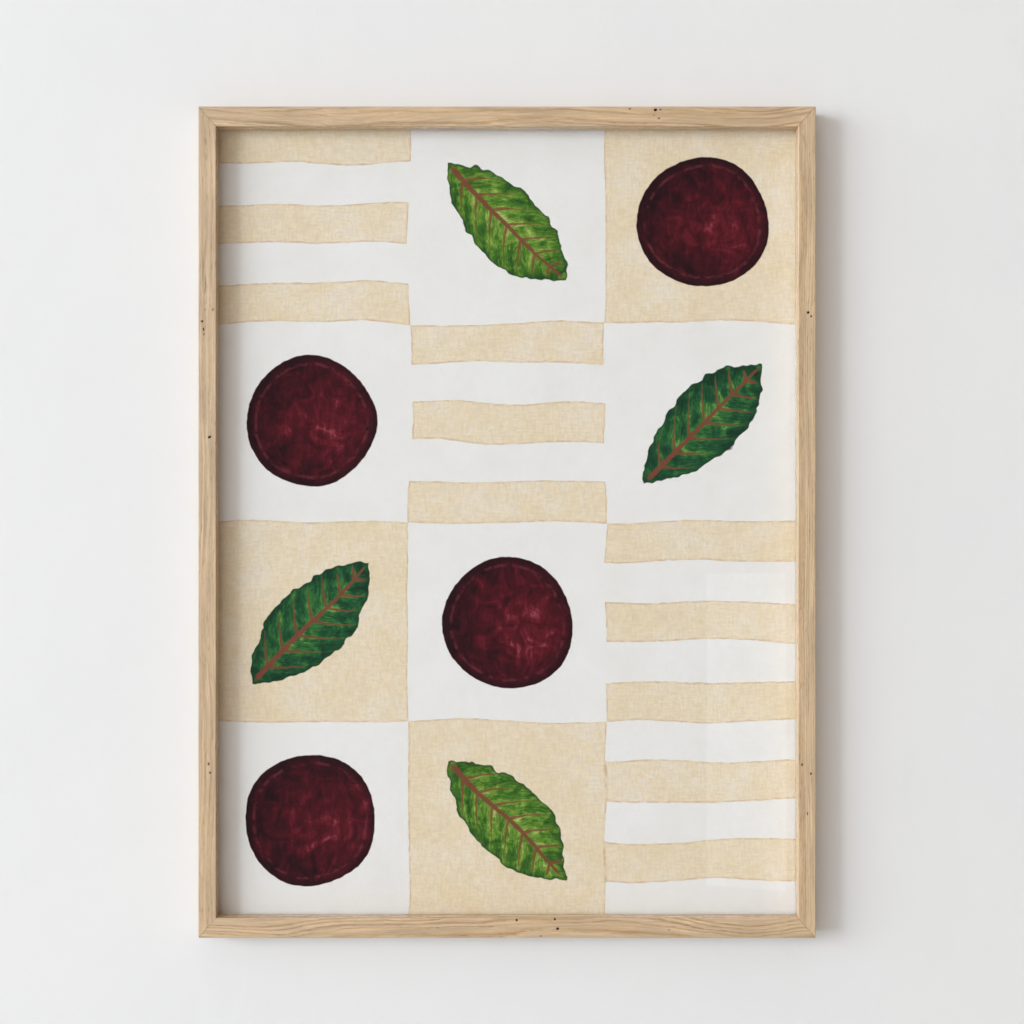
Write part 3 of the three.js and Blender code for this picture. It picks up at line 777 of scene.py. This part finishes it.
def painted_paper():
    """Heavy cotton paper, painted in gouache. The washes are matt and uneven, pool darker along
    their edges, and show the brush; the paper's tooth shows through them. Places on the sheet
    are in millimetres, so a scale of 1 / 30 gives blots about 30 mm apart."""
    material, tree = new_material("gouache_on_cotton_paper")
    place = add(tree, "ShaderNodeTexCoord").outputs["Object"]
    corner = (OPENING_WIDTH / 2 / MM + BLEED_MM, (MIDDLE.z + OPENING_HEIGHT / 2) / MM + BLEED_MM, 0)
    sheet = add(
        tree, "ShaderNodeMapping", place,
        Location=corner, Rotation=(math.radians(90), 0, 0), Scale=PER_MM,
    )

    # The hand's wobble: slow over a few centimetres, and fine over a few millimetres.
    slow = add(tree, "ShaderNodeTexNoise", sheet, Scale=1 / 62, Detail=0.0)
    fine = add(tree, "ShaderNodeTexNoise", sheet, Scale=1 / 5, Detail=2.0)
    drawn = strayed(tree, sheet, slow, (8.0, 8.0, 0))
    drawn = strayed(tree, drawn, fine, (1.6, 1.6, 0))
    drawn = add(tree, "ShaderNodeVectorMath", drawn, (1, 1, 0), operation="MULTIPLY")

    mottle = add(tree, "ShaderNodeTexNoise", sheet, Scale=1 / 6, Detail=2.0, Roughness=0.55)
    blot = add(tree, "ShaderNodeTexNoise", sheet, Scale=1 / 15, Detail=3.0, Roughness=0.6, Distortion=1.2)
    blot = add(tree, "ShaderNodeMath", blot, 1.1, operation="MULTIPLY")
    index, local, motif = painted_cells(tree, drawn)
    seed = add(tree, "ShaderNodeVectorMath", index, (7.3, 3.1, 0), operation="DOT_PRODUCT")
    picture, is_tan = painted_ground(tree, drawn, sheet, mottle, index, local, motif)
    burgundy, in_disc = painted_disc(tree, local, mottle, blot, seed)
    green, in_leaf = painted_leaf(tree, drawn, local, motif, blot, seed)
    is_disc = add(tree, "ShaderNodeMath", motif, DISC, 0.5, operation="COMPARE")
    is_leaf = add(tree, "ShaderNodeMath", motif, 2, operation="FLOORED_MODULO")
    for colour, within, painted in ((burgundy, in_disc, is_disc), (green, in_leaf, is_leaf)):
        cover = add(tree, "ShaderNodeMath", within, painted, operation="MULTIPLY")
        picture = add(tree, "ShaderNodeMix", cover, picture, colour, data_type="RGBA")

    # The tan's pigment has settled in the tooth.
    tooth = paper_tooth(tree, sheet)
    settled = add(tree, "ShaderNodeMapRange", is_tan, 0.0, 1.0, 0.005, 0.045)
    darker = add(tree, "ShaderNodeMath", 1.0, settled, operation="SUBTRACT")
    lighter = add(tree, "ShaderNodeMath", 1.0, settled, operation="ADD")
    tooth_tone = add(tree, "ShaderNodeMapRange", tooth, 0.3, 0.7, darker, lighter)
    picture = add(tree, "ShaderNodeVectorMath", picture, tooth_tone, operation="MULTIPLY")
    bump = add(tree, "ShaderNodeBump", Strength=0.12, Distance=0.08 * MM, Height=tooth)
    show(tree, add(
        tree, "ShaderNodeBsdfPrincipled",
        Base_Color=picture, Roughness=0.86, IOR=1.45, Specular_IOR_Level=0.25, Normal=bump,
    ))
    return material


def hardboard():
    """Tempered hardboard, pressed on a wire screen: brown, hard, with the screen's squares in its back,
    painted shade darkening their grooves, and stray darker fibres."""
    material, tree = new_material("hardboard_pressed")
    place = add(tree, "ShaderNodeTexCoord").outputs["Object"]
    board = add(tree, "ShaderNodeVectorMath", place, PER_MM, operation="MULTIPLY")

    # The screen's wires are 1 mm apart on the board and drawn 2 mm apart, so that they show.
    parts = add(tree, "ShaderNodeSeparateXYZ", board).outputs
    screen = 1.0
    for axis in ("X", "Z"):
        wire = add(tree, "ShaderNodeMath", parts[axis], 1.0, operation="PINGPONG")
        wire = add(tree, "ShaderNodeMapRange", wire, 0.1, 0.7, 0.0, 1.0, interpolation_type="SMOOTHSTEP")
        screen = add(tree, "ShaderNodeMath", screen, wire, operation="MULTIPLY")
    upright = add(tree, "ShaderNodeVectorMath", board, (1 / 1.2, 1 / 1.2, 1 / 6), operation="MULTIPLY")
    fibre = add(
        tree, "ShaderNodeTexNoise", upright,
        Scale=1.0, Detail=4.0, Roughness=0.7, Distortion=1.5,
    )
    cloud = add(tree, "ShaderNodeTexNoise", board, Scale=1 / 90, Detail=3.0)
    cloud = add(tree, "ShaderNodeMath", cloud, 0.35, operation="MULTIPLY")
    tone = add(tree, "ShaderNodeMath", fibre, cloud, operation="ADD")
    tone = add(tree, "ShaderNodeMapRange", tone, 0.42, 0.92, 0.0, 1.0)
    brown = add(
        tree, "ShaderNodeValToRGB", tone,
        stops=[(0.0, "#6b4a30"), (0.5, "#8a6443"), (1.0, "#a37d58")],
    )
    # Painted shade: the board's colour is darker in the wires' grooves, where its relief dips.
    shade = add(tree, "ShaderNodeMapRange", screen, 0.0, 1.0, 0.84, 1.05)
    brown = add(tree, "ShaderNodeVectorMath", brown, shade, operation="MULTIPLY")
    height = add(tree, "ShaderNodeMath", screen, fibre, operation="ADD")
    bump = add(tree, "ShaderNodeBump", Strength=0.6, Distance=0.25 * MM, Height=height)
    show(tree, add(
        tree, "ShaderNodeBsdfPrincipled",
        Base_Color=brown, Roughness=0.72, IOR=1.5, Specular_IOR_Level=0.35, Normal=bump,
    ))
    return material


def sheets():
    """The glass, the print and the back, from the front inwards."""
    finished("picture_glass", slab("glazing", 0.2 * MM), picture_glass(), "glazing", "glazing")
    finished("painted_print", print_sheet(), painted_paper(), "print_paper", "print_sheet")
    board = slab("backing_board", 0.3 * MM)
    finished("hardboard_back", board, hardboard(), "fibreboard", "backing_board")


# ---- hardware ---------------------------------------------------------------------------------

def zinc_steel():
    """Mild steel, stamped and zinc plated: grey with a faint warm and cool bloom, rubbed dull in
    places, and fine scratches along the strip."""
    material, tree = new_material("steel_zinc_plated")
    place = add(tree, "ShaderNodeTexCoord").outputs["Object"]
    steel = add(tree, "ShaderNodeVectorMath", place, PER_MM, operation="MULTIPLY")
    bloom = add(tree, "ShaderNodeTexNoise", steel, Scale=1 / 5, Detail=3.0, Roughness=0.6)
    colour = add(
        tree, "ShaderNodeValToRGB", bloom,
        stops=[(0.3, "#a9adb0"), (0.5, "#bfc0bd"), (0.7, "#c9c3b4")],
    )
    scratch = streaks(tree, steel, 3, 0.2, Detail=2.0)
    rough = add(tree, "ShaderNodeMath", scratch, bloom, operation="ADD")
    rough = add(tree, "ShaderNodeMapRange", rough, 0.7, 1.3, 0.3, 0.52)
    bump = add(tree, "ShaderNodeBump", Strength=0.2, Distance=0.03 * MM, Height=scratch)
    show(tree, add(
        tree, "ShaderNodeBsdfPrincipled",
        Base_Color=colour, Metallic=1.0, Roughness=rough, Normal=bump,
    ))
    return material


def rubber():
    """Soft rubber, moulded: near black and matt, with dust in its pores."""
    material, tree = new_material("rubber_moulded")
    place = add(tree, "ShaderNodeTexCoord").outputs["Object"]
    pad = add(tree, "ShaderNodeVectorMath", place, PER_MM, operation="MULTIPLY")
    grit = add(tree, "ShaderNodeTexNoise", pad, Scale=1 / 0.5, Detail=3.0, Roughness=0.7)
    dust = add(tree, "ShaderNodeTexNoise", pad, Scale=1 / 2.5, Detail=2.0)
    dust = add(tree, "ShaderNodeMapRange", dust, 0.5, 0.75, 0.0, 0.35)
    colour = add(tree, "ShaderNodeMix", dust, "#2b2b2c", "#59564f", data_type="RGBA")
    rough = add(tree, "ShaderNodeMapRange", grit, 0.3, 0.7, 0.7, 0.9)
    bump = add(tree, "ShaderNodeBump", Strength=0.3, Distance=0.05 * MM, Height=grit)
    show(tree, add(
        tree, "ShaderNodeBsdfPrincipled",
        Base_Color=colour, Roughness=rough, IOR=1.52, Specular_IOR_Level=0.4, Normal=bump,
    ))
    return material


def node_group(name, *inputs):
    """A new Geometry Nodes tree with these inputs, as (name, socket type), and a geometry
    input and output."""
    tree = bpy.data.node_groups.new(name, "GeometryNodeTree")
    tree.interface.new_socket("Geometry", in_out="INPUT", socket_type="NodeSocketGeometry")
    for label, socket_type in inputs:
        tree.interface.new_socket(label, in_out="INPUT", socket_type=socket_type)
    tree.interface.new_socket("Geometry", in_out="OUTPUT", socket_type="NodeSocketGeometry")
    return tree


def grown(name, points, turns, tree, **values):
    """The plain mesh that a Geometry Nodes tree makes on these points, each with its turn."""
    start = bpy.data.meshes.new(name + "_points")
    start.from_pydata(points, [], [])
    turn = start.attributes.new("turn", "FLOAT_VECTOR", "POINT")
    for item, value in zip(turn.data, turns):
        item.vector = value
    holder = bpy.data.objects.new(name + "_points", start)
    bpy.context.scene.collection.objects.link(holder)
    modifier = holder.modifiers.new("nodes", "NODES")
    modifier.node_group = tree
    inputs = [item for item in tree.interface.items_tree if item.in_out == "INPUT"]
    identifiers = {item.name: item.identifier for item in inputs}
    for label, value in values.items():
        modifier[identifiers[label.replace("_", " ")]] = value
    graph = bpy.context.evaluated_depsgraph_get()
    mesh = bpy.data.meshes.new_from_object(holder.evaluated_get(graph))
    mesh.name = name
    holder.modifiers.remove(modifier)
    bpy.data.objects.remove(holder)
    return mesh


def end_tree(tree, given, fitting, **settings):
    """Ends a tree with one fitting on each point, turned as the point says and out of line by
    its Stray at most, as plain geometry in its finish."""
    turn = add(tree, "GeometryNodeInputNamedAttribute", "turn", data_type="FLOAT_VECTOR")
    turn = add(tree, "FunctionNodeEulerToRotation", turn)
    copies = add(
        tree, "GeometryNodeInstanceOnPoints", given["Geometry"],
        Instance=fitting, Rotation=turn, **settings,
    )
    low = add(tree, "ShaderNodeMath", given["Stray"], -1.0, operation="MULTIPLY")
    stray = add(
        tree, "FunctionNodeRandomValue",
        Min=low, Max=given["Stray"], Seed=given["Seed"], data_type="FLOAT",
    )
    stray = add(tree, "ShaderNodeCombineXYZ", 0.0, stray, 0.0)
    copies = add(tree, "GeometryNodeRotateInstances", copies, Rotation=stray)
    real = add(tree, "GeometryNodeRealizeInstances", copies)
    painted = add(tree, "GeometryNodeSetMaterial", real, Material=given["Finish"])
    add(tree, "NodeGroupOutput", painted)


# A tab's mesh: its columns along it and its rows across it, and the least share of its width
# that its pointed root has.
TAB_COLUMNS, TAB_ROWS = 31, 11
TAB_POINT_SHARE = 0.06


def tab_tree():
    """Bendable tabs: strips with a pointed root, a round end and a pressed rib, one on each
    point, none quite in line."""
    tree = node_group(
        "retaining tabs",
        ("Length", "NodeSocketFloat"), ("Width", "NodeSocketFloat"), ("Thickness", "NodeSocketFloat"),
        ("Root", "NodeSocketFloat"), ("Point", "NodeSocketFloat"), ("End Radius", "NodeSocketFloat"),
        ("Rib", "NodeSocketFloat"), ("Stray", "NodeSocketFloat"), ("Seed", "NodeSocketInt"),
        ("Finish", "NodeSocketMaterial"),
    )
    size = add(tree, "NodeGroupInput").outputs
    grid = add(
        tree, "GeometryNodeMeshGrid",
        Size_X=size["Length"], Size_Y=size["Width"], Vertices_X=TAB_COLUMNS, Vertices_Y=TAB_ROWS,
    )
    place = add(tree, "ShaderNodeSeparateXYZ", add(tree, "GeometryNodeInputPosition")).outputs
    half = add(tree, "ShaderNodeMath", size["Length"], 0.5, operation="MULTIPLY")
    half_width = add(tree, "ShaderNodeMath", size["Width"], 0.5, operation="MULTIPLY")

    # The outline narrows to the pointed root, and by a quarter circle at each corner of the end.
    along = add(tree, "ShaderNodeMath", place["X"], half, operation="ADD")
    taper = add(tree, "ShaderNodeMath", along, size["Point"], operation="DIVIDE")
    taper = add(tree, "ShaderNodeClamp", taper, TAB_POINT_SHARE, 1.0)
    bend_start = add(tree, "ShaderNodeMath", half, size["End Radius"], operation="SUBTRACT")
    over = add(tree, "ShaderNodeMath", place["X"], bend_start, operation="SUBTRACT")
    over = add(tree, "ShaderNodeMath", over, size["End Radius"], operation="DIVIDE")
    over = add(tree, "ShaderNodeClamp", over, 0.0, 0.98)
    over = add(tree, "ShaderNodeMath", over, over, operation="MULTIPLY")
    over = add(tree, "ShaderNodeMath", 1.0, over, operation="SUBTRACT")
    drop = add(tree, "ShaderNodeMath", over, operation="SQRT")
    drop = add(tree, "ShaderNodeMath", 1.0, drop, operation="SUBTRACT")
    drop = add(tree, "ShaderNodeMath", drop, size["End Radius"], operation="MULTIPLY")
    drop = add(tree, "ShaderNodeMath", drop, half_width, operation="DIVIDE")
    narrow = add(tree, "ShaderNodeMath", 1.0, drop, operation="SUBTRACT")
    narrow = add(tree, "ShaderNodeMath", narrow, taper, operation="MULTIPLY")
    across = add(tree, "ShaderNodeMath", place["Y"], narrow, operation="MULTIPLY")

    # The rib runs along the middle and fades out at both ends.
    ridge = add(tree, "ShaderNodeMath", place["Y"], half_width, operation="DIVIDE")
    ridge = add(tree, "ShaderNodeMath", ridge, operation="ABSOLUTE")
    ridge = add(tree, "ShaderNodeMapRange", ridge, 0.0, 0.45, 1.0, 0.0, interpolation_type="SMOOTHSTEP")
    share = add(tree, "ShaderNodeMath", along, size["Length"], operation="DIVIDE")
    fade = add(tree, "ShaderNodeMath", share, 0.5, operation="PINGPONG")
    fade = add(tree, "ShaderNodeMapRange", fade, 0.08, 0.2, 0.0, 1.0, interpolation_type="SMOOTHSTEP")
    ridge = add(tree, "ShaderNodeMath", ridge, fade, operation="MULTIPLY")
    ridge = add(tree, "ShaderNodeMath", ridge, size["Rib"], operation="MULTIPLY")

    rooted = add(tree, "ShaderNodeMath", along, size["Root"], operation="SUBTRACT")
    shaped = add(tree, "ShaderNodeCombineXYZ", rooted, ridge, across)
    blade = add(tree, "GeometryNodeSetPosition", grid.outputs["Mesh"], Position=shaped)
    thick = add(
        tree, "GeometryNodeExtrudeMesh", blade, Offset=(0, 1, 0),
        Offset_Scale=size["Thickness"], Individual=False,
    )
    under = add(tree, "GeometryNodeFlipFaces", blade)
    closed = add(tree, "GeometryNodeJoinGeometry")
    for side in (thick.outputs["Mesh"], under.outputs["Mesh"]):
        tree.links.new(side, closed.inputs["Geometry"])
    closed = add(tree, "GeometryNodeMergeByDistance", closed, Distance=WELD)
    end_tree(tree, size, closed)
    return tree


def copies_tree():
    """One small fitting on each point, as large as its Size says."""
    tree = node_group(
        "fittings",
        ("Fitting", "NodeSocketObject"), ("Size", "NodeSocketFloat"), ("Stray", "NodeSocketFloat"),
        ("Seed", "NodeSocketInt"), ("Finish", "NodeSocketMaterial"),
    )
    given = add(tree, "NodeGroupInput").outputs
    fitting = add(tree, "GeometryNodeObjectInfo", Object=given["Fitting"])
    end_tree(tree, given, fitting.outputs["Geometry"], Scale=given["Size"])
    return tree


def middle_of(node):
    """The middle of a node's box."""
    low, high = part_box(node)
    return (low + high) / 2


TAB_ROOT = 5.0 * MM
# The tabs on each side: the side's turn in degrees, and how many it has.
TAB_SIDES = {"left": (0, 3), "top": (90, 2), "right": (180, 3), "bottom": (-90, 2)}


def retaining_tabs(finish):
    """The ten tabs that hold the back in, driven into the rebate's wall."""
    points, turns, nodes = [], [], []
    low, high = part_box("retaining_tab_left_1")
    length, thick, width = high - low
    for side, (turn, count) in TAB_SIDES.items():
        inwards = Matrix.Rotation(math.radians(turn), 3, "Y") @ Vector((1, 0, 0))
        for i in range(1, count + 1):
            node = f"retaining_tab_{side}_{i}"
            place = middle_of(node) - inwards * (length / 2 - TAB_ROOT)
            place.y = low.y
            points.append(place)
            turns.append((0, math.radians(turn), 0))
            nodes.append(node)
    mesh = grown(
        "bendable_tabs", points, turns, tab_tree(),
        Length=length, Width=width, Thickness=thick, Root=TAB_ROOT, Point=2 * MM,
        End_Radius=1.6 * MM, Rib=0.3 * MM, Stray=math.radians(3), Seed=5, Finish=finish,
    )
    finished("bendable_tabs", smoothed(mesh), finish, "zinc_steel", *nodes)


def turned(name, profile, steps=32):
    """A mesh turned round the Y axis from a profile of (radius, y) that starts and ends on it."""
    vertices, faces = [], []
    for radius, y in profile:
        for k in range(steps):
            turn = 2 * math.pi * k / steps
            vertices.append((radius * math.cos(turn), y, radius * math.sin(turn)))
    for row in range(len(profile) - 1):
        for k in range(steps):
            near, far = row * steps, (row + 1) * steps
            faces.append((near + k, near + (k + 1) % steps, far + (k + 1) % steps, far + k))
    return closed_mesh(name, vertices, faces)


def put_on_points(name, fitting_mesh, nodes, turns, finish, slot):
    """One copy of a small fitting in the place of each node."""
    fitting = bpy.data.objects.new(name + "_one", fitting_mesh)
    bpy.context.scene.collection.objects.link(fitting)
    points = [Vector((middle_of(node).x, 0, middle_of(node).z)) for node in nodes]
    mesh = grown(
        name, points, turns, copies_tree(),
        Fitting=fitting, Size=1.0, Stray=0.0, Seed=3, Finish=finish,
    )
    bpy.data.objects.remove(fitting)
    finished(name, smoothed(mesh), finish, slot, *nodes)


def v_nails(finish):
    """The V-nails that tie the mitres: their edges show in the back of each corner."""
    leg, thick, depth, proud = 3.6 * MM, 0.5 * MM, 7 * MM, 0.08 * MM
    half, tip = thick / 2 * math.sqrt(0.5), leg * math.sqrt(0.5)
    outline = [
        (2 * half, 0), (tip + half, tip - half), (tip - half, tip + half),
        (-2 * half, 0), (tip - half, -tip - half), (tip + half, half - tip),
    ]
    count = len(outline)
    vertices = [(x, BACK + y, z) for y in (proud, -depth) for x, z in outline]
    faces = [(0, 1, 2, 3), (0, 3, 4, 5), (9, 8, 7, 6), (11, 10, 9, 6)]
    faces += [(i, (i + 1) % count, count + (i + 1) % count, count + i) for i in range(count)]
    one = closed_mesh("v_nail", vertices, faces)
    nodes, turns = [], []
    for z, level in ((1, "top"), (-1, "bottom")):
        for x, side in ((-1, "left"), (1, "right")):
            nodes.append(f"v_nail_{level}_{side}")
            outwards = Vector((x * STILE_WIDTH, 0, z * RAIL_WIDTH)).normalized()
            turns.append((0, math.atan2(-outwards.z, outwards.x), 0))
    put_on_points("corner_v_nails", one, nodes, turns, finish, "zinc_steel")


BURR_EASE = 0.12 * MM


def hanger(finish):
    """The sawtooth hanger, with the stamping's burred edges eased."""
    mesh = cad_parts["sawtooth_hanger"].data.copy()
    body = bmesh.new()
    body.from_mesh(mesh)
    bmesh.ops.remove_doubles(body, verts=body.verts, dist=WELD)
    bmesh.ops.dissolve_limit(body, angle_limit=math.radians(1), verts=body.verts, edges=body.edges)
    body.to_mesh(mesh)
    body.free()
    holder = bpy.data.objects.new("hanger_blank", mesh)
    bpy.context.scene.collection.objects.link(holder)
    ease = holder.modifiers.new("ease", "BEVEL")
    ease.width, ease.segments, ease.limit_method = BURR_EASE, 2, "ANGLE"
    ease.angle_limit = math.radians(40)
    graph = bpy.context.evaluated_depsgraph_get()
    eased = bpy.data.meshes.new_from_object(holder.evaluated_get(graph))
    bpy.data.objects.remove(holder)
    finished("stamped_hanger", smoothed(eased), finish, "zinc_steel", "sawtooth_hanger")


def quarter_round(middle_radius, middle_y, across, up, steps=8):
    """A profile's quarter turn, from its widest to its highest."""
    turns = [math.radians(90) * k / steps for k in range(steps + 1)]
    return [(middle_radius + across * math.cos(t), middle_y + up * math.sin(t)) for t in turns]


def hanger_nails(finish):
    """The hanger's two nails, with low domed heads."""
    low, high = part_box("hanger_nail_left")
    radius, shank, head, dome = (high.x - low.x) / 2, 0.7 * MM, 0.7 * MM, 0.55 * MM
    under = high.y - head
    profile = [(0, low.y), (shank * 0.4, low.y + 0.5 * MM), (shank, low.y + 1.8 * MM), (shank, under)]
    profile += [(radius - 0.1 * MM, under), (radius, under + 0.1 * MM)]
    profile += quarter_round(0, high.y - dome, radius, dome)[1:]
    one = turned("hanger_nail", profile)
    nodes = ["hanger_nail_left", "hanger_nail_right"]
    put_on_points("hanger_nails", one, nodes, [(0, 0, 0)] * 2, finish, "zinc_steel")


def bumpers(finish):
    """The stick-on bumpers: round pads with a soft edge and a shallow moulded dish."""
    low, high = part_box("wall_bumper_left")
    radius, soft, dish = (high.x - low.x) / 2, 0.9 * MM, 0.12 * MM
    profile = [(0, low.y), (radius - 0.15 * MM, low.y), (radius, low.y + 0.15 * MM)]
    profile += quarter_round(radius - soft, high.y - soft, soft, soft)
    profile += [(radius * 0.55, high.y), (radius * 0.45, high.y - dish), (0, high.y - dish)]
    one = turned("bumper", profile, steps=48)
    nodes = ["wall_bumper_left", "wall_bumper_right"]
    put_on_points("rubber_bumpers", one, nodes, [(0, 0, 0)] * 2, finish, "bumper_rubber")


def hardware():
    """The steel fittings, then the rubber ones."""
    steel = zinc_steel()
    retaining_tabs(steel)
    v_nails(steel)
    hanger(steel)
    hanger_nails(steel)
    bumpers(rubber())


# ---- stage, light and camera ------------------------------------------------------------------

WALL_HALF = 3.0
FLOOR_HALF = 12.0
FLOOR_Z = -1.75


def plaster():
    """Painted plaster: a matt off-white wall with the trowel's soft unevenness. From behind it
    is clear, so that the back of the frame can be seen."""
    material, tree = new_material("painted_plaster")
    place = add(tree, "ShaderNodeTexCoord").outputs["Object"]
    drift = add(tree, "ShaderNodeTexNoise", place, Scale=5.0, Detail=4.0, Roughness=0.6, Distortion=0.6)
    tone = add(tree, "ShaderNodeValToRGB", drift, stops=[(0.3, "#ebeceb"), (0.7, "#edeeec")])
    upright = add(tree, "ShaderNodeVectorMath", place, (1, 1, 0.6), operation="MULTIPLY")
    trowel = add(
        tree, "ShaderNodeTexNoise", upright,
        Scale=22.0, Detail=5.0, Roughness=0.6, Distortion=0.8,
    )
    bump = add(tree, "ShaderNodeBump", Strength=0.25, Distance=2.0 * MM, Height=trowel)
    paint = add(tree, "ShaderNodeBsdfDiffuse", tone, Normal=bump)
    clear = add(tree, "ShaderNodeBsdfTransparent")
    behind = add(tree, "ShaderNodeNewGeometry").outputs["Backfacing"]
    show(tree, add(tree, "ShaderNodeMixShader", behind, paint, clear))
    return material


def pale_floor():
    """A plain pale studio floor. The camera sees it evenly pale, also close to the windows, and
    it gives less light back than it shows, as a floor does that is mostly in a room's shade."""
    material, tree = new_material("studio_floor")
    place = add(tree, "ShaderNodeTexCoord").outputs["Object"]
    drift = add(tree, "ShaderNodeTexNoise", place, Scale=1.5, Detail=3.0)
    tone = add(tree, "ShaderNodeValToRGB", drift, stops=[(0.3, "#dcdcda"), (0.7, "#e2e2e0")])
    even = add(tree, "ShaderNodeEmission", tone, 0.96)
    lit = add(tree, "ShaderNodeBsdfDiffuse", "#414345")
    pale = add(tree, "ShaderNodeAddShader", even, lit)
    bounced = add(tree, "ShaderNodeBsdfDiffuse", "#c4c4c4")
    seen = add(tree, "ShaderNodeLightPath").outputs["Is Camera Ray"]
    show(tree, add(tree, "ShaderNodeMixShader", seen, bounced, pale))
    return material


def stage_sheet(name, corners, material):
    """A flat sheet of the stage. Its corners run anticlockwise, seen from its front."""
    mesh = bpy.data.meshes.new(name)
    mesh.from_pydata(corners, [], [(0, 1, 2, 3)])
    mesh.materials.append(material)
    sheet = bpy.data.objects.new(name, mesh)
    bpy.context.scene.collection.objects.link(sheet)
    return sheet


def hide_from(sheet, *rays):
    """Keeps a sheet of the stage out of these rays."""
    for ray in rays:
        setattr(sheet, "visible_" + ray, False)


def stage():
    """The wall that the frame hangs on, and the floor below it. The wall takes light but gives
    none back, so that the frame is lit alike from every side."""
    w, f, z = WALL_HALF, FLOOR_HALF, FLOOR_Z
    wall = stage_sheet("wall", [(-w, 0, z), (w, 0, z), (w, 0, w), (-w, 0, w)], plaster())
    hide_from(wall, "diffuse", "glossy", "transmission", "shadow")
    stage_sheet("floor", [(-f, -f, z), (f, -f, z), (f, f, z), (-f, f, z)], pale_floor())


# The cards' places, and x and z of their corners.
CARD_Y = -2.4
PANE_Y = CARD_Y + 0.01
CARD_X, CARD_BOTTOM, CARD_TOP = 0.8, MIDDLE.z - 1.0, MIDDLE.z + 1.0
CARD_CORNERS = [(-CARD_X, CARD_BOTTOM), (CARD_X, CARD_BOTTOM), (CARD_X, CARD_TOP), (-CARD_X, CARD_TOP)]
PANE_CORNERS = [(0.375, -1.010), (0.526, -1.022), (0.526, -0.416), (0.375, -0.416)]


def reflected_cards():
    """What the glass mirrors towards the camera: a dark card that keeps the room's brightness
    off it, and on the card one pale window pane. Only reflections see them."""
    cards = [
        ("dark_card", CARD_Y, CARD_CORNERS, "#ffffff", 0.03),
        ("pane_card", PANE_Y, PANE_CORNERS, "#fbfdff", 0.5),
    ]
    for name, y, corners, colour, glow in cards:
        material, tree = new_material(name)
        show(tree, add(tree, "ShaderNodeEmission", colour, glow))
        sheet = stage_sheet(name, [(x, y, z) for x, z in corners], material)
        hide_from(sheet, "camera", "diffuse", "shadow")


def area_light(name, place, size, power, colour):
    """A soft panel of light, as wide and tall as its size says, turned to the frame."""
    data = bpy.data.lights.new(name, "AREA")
    data.shape = "RECTANGLE"
    data.size, data.size_y = size
    data.energy = power
    data.color = linear(colour)[:3]
    lamp = bpy.data.objects.new(name, data)
    lamp.location = place
    lamp.rotation_euler = (MIDDLE - Vector(place)).to_track_quat("-Z", "Y").to_euler()
    bpy.context.scene.collection.objects.link(lamp)


DAYLIGHT = "#eff6ff"
WINDOW_DISTANCE = 9.0
WINDOW_RISE = 1.08
WINDOW_HEIGHT = 3.8
# Each window's angle to the left of straight ahead, in degrees, its width in metres, and its
# power in watts.
WINDOWS = {
    "window": (51.5, 4.8, 401),
    "bright_pane": (42.5, 1.2, 104),
    "far_window": (75.0, 1.7, 105),
    "beside_window": (20.0, 5.2, 174),
}
REAR_PLACE, REAR_SIZE, REAR_POWER = (1.9, 2.6, 1.5), (2.2, 2.2), 62


def room():
    """The room's own light: palest from above, and darker and browner low down and to the right.
    The camera sees a plain pale backdrop in its place."""
    world = bpy.data.worlds.new("studio")
    world.use_nodes = True
    tree = world.node_tree
    tree.nodes.clear()
    towards = add(tree, "ShaderNodeSeparateXYZ", add(tree, "ShaderNodeTexCoord").outputs["Generated"])
    up = add(tree, "ShaderNodeMapRange", towards.outputs["Z"], 0.1, 0.8, 0.0, 1.0)
    left_side = add(tree, "ShaderNodeMix", up, "#877766", "#eee9e3", data_type="RGBA")
    right_side = add(tree, "ShaderNodeMix", up, "#59493e", "#aa8e79", data_type="RGBA")
    to_right = add(tree, "ShaderNodeMapRange", towards.outputs["X"], -0.15, 0.5, 0.0, 1.0)
    walls = add(tree, "ShaderNodeMix", to_right, left_side, right_side, data_type="RGBA")
    fill = add(tree, "ShaderNodeBackground", walls, 1.0)
    backdrop = add(tree, "ShaderNodeBackground", "#e8e8e6", 0.9)
    seen = add(tree, "ShaderNodeLightPath").outputs["Is Camera Ray"]
    add(tree, "ShaderNodeOutputWorld", Surface=add(tree, "ShaderNodeMixShader", seen, fill, backdrop))
    bpy.context.scene.world = world


def lights():
    """Daylight from a wide window far to the left, with a brighter pane in it and paler
    daylight on either side of it. The whole room fills in, and a lamp behind shows the back."""
    for name, (angle, width, power) in WINDOWS.items():
        across, out = math.sin(math.radians(angle)), math.cos(math.radians(angle))
        place = MIDDLE + Vector((-across * WINDOW_DISTANCE, -out * WINDOW_DISTANCE, WINDOW_RISE))
        area_light(name, place, (width, WINDOW_HEIGHT), power, DAYLIGHT)
    area_light("rear", REAR_PLACE, REAR_SIZE, REAR_POWER, "#ffffff")
    room()
    bpy.context.scene.view_settings.view_transform = "Standard"


CAMERA_DISTANCE = 1.55
VIEW_WIDTH = 0.7661
SENSOR_WIDTH = 36
CAMERA_SIDE = 3.7 * MM
CAMERA_RISE = 7.6 * MM


def camera():
    """A camera square to the wall, a little above and to the right of the frame's middle."""
    data = bpy.data.cameras.new("camera")
    data.sensor_width = SENSOR_WIDTH
    data.lens = SENSOR_WIDTH * CAMERA_DISTANCE / VIEW_WIDTH
    eye = bpy.data.objects.new("camera", data)
    eye.location = (CAMERA_SIDE, FRONT - CAMERA_DISTANCE, MIDDLE.z + CAMERA_RISE)
    eye.rotation_euler = Euler((math.radians(90), 0, 0))
    bpy.context.scene.collection.objects.link(eye)
    bpy.context.scene.camera = eye


camera()
oak_mouldings()
sheets()
hardware()
stage()
reflected_cards()
lights()
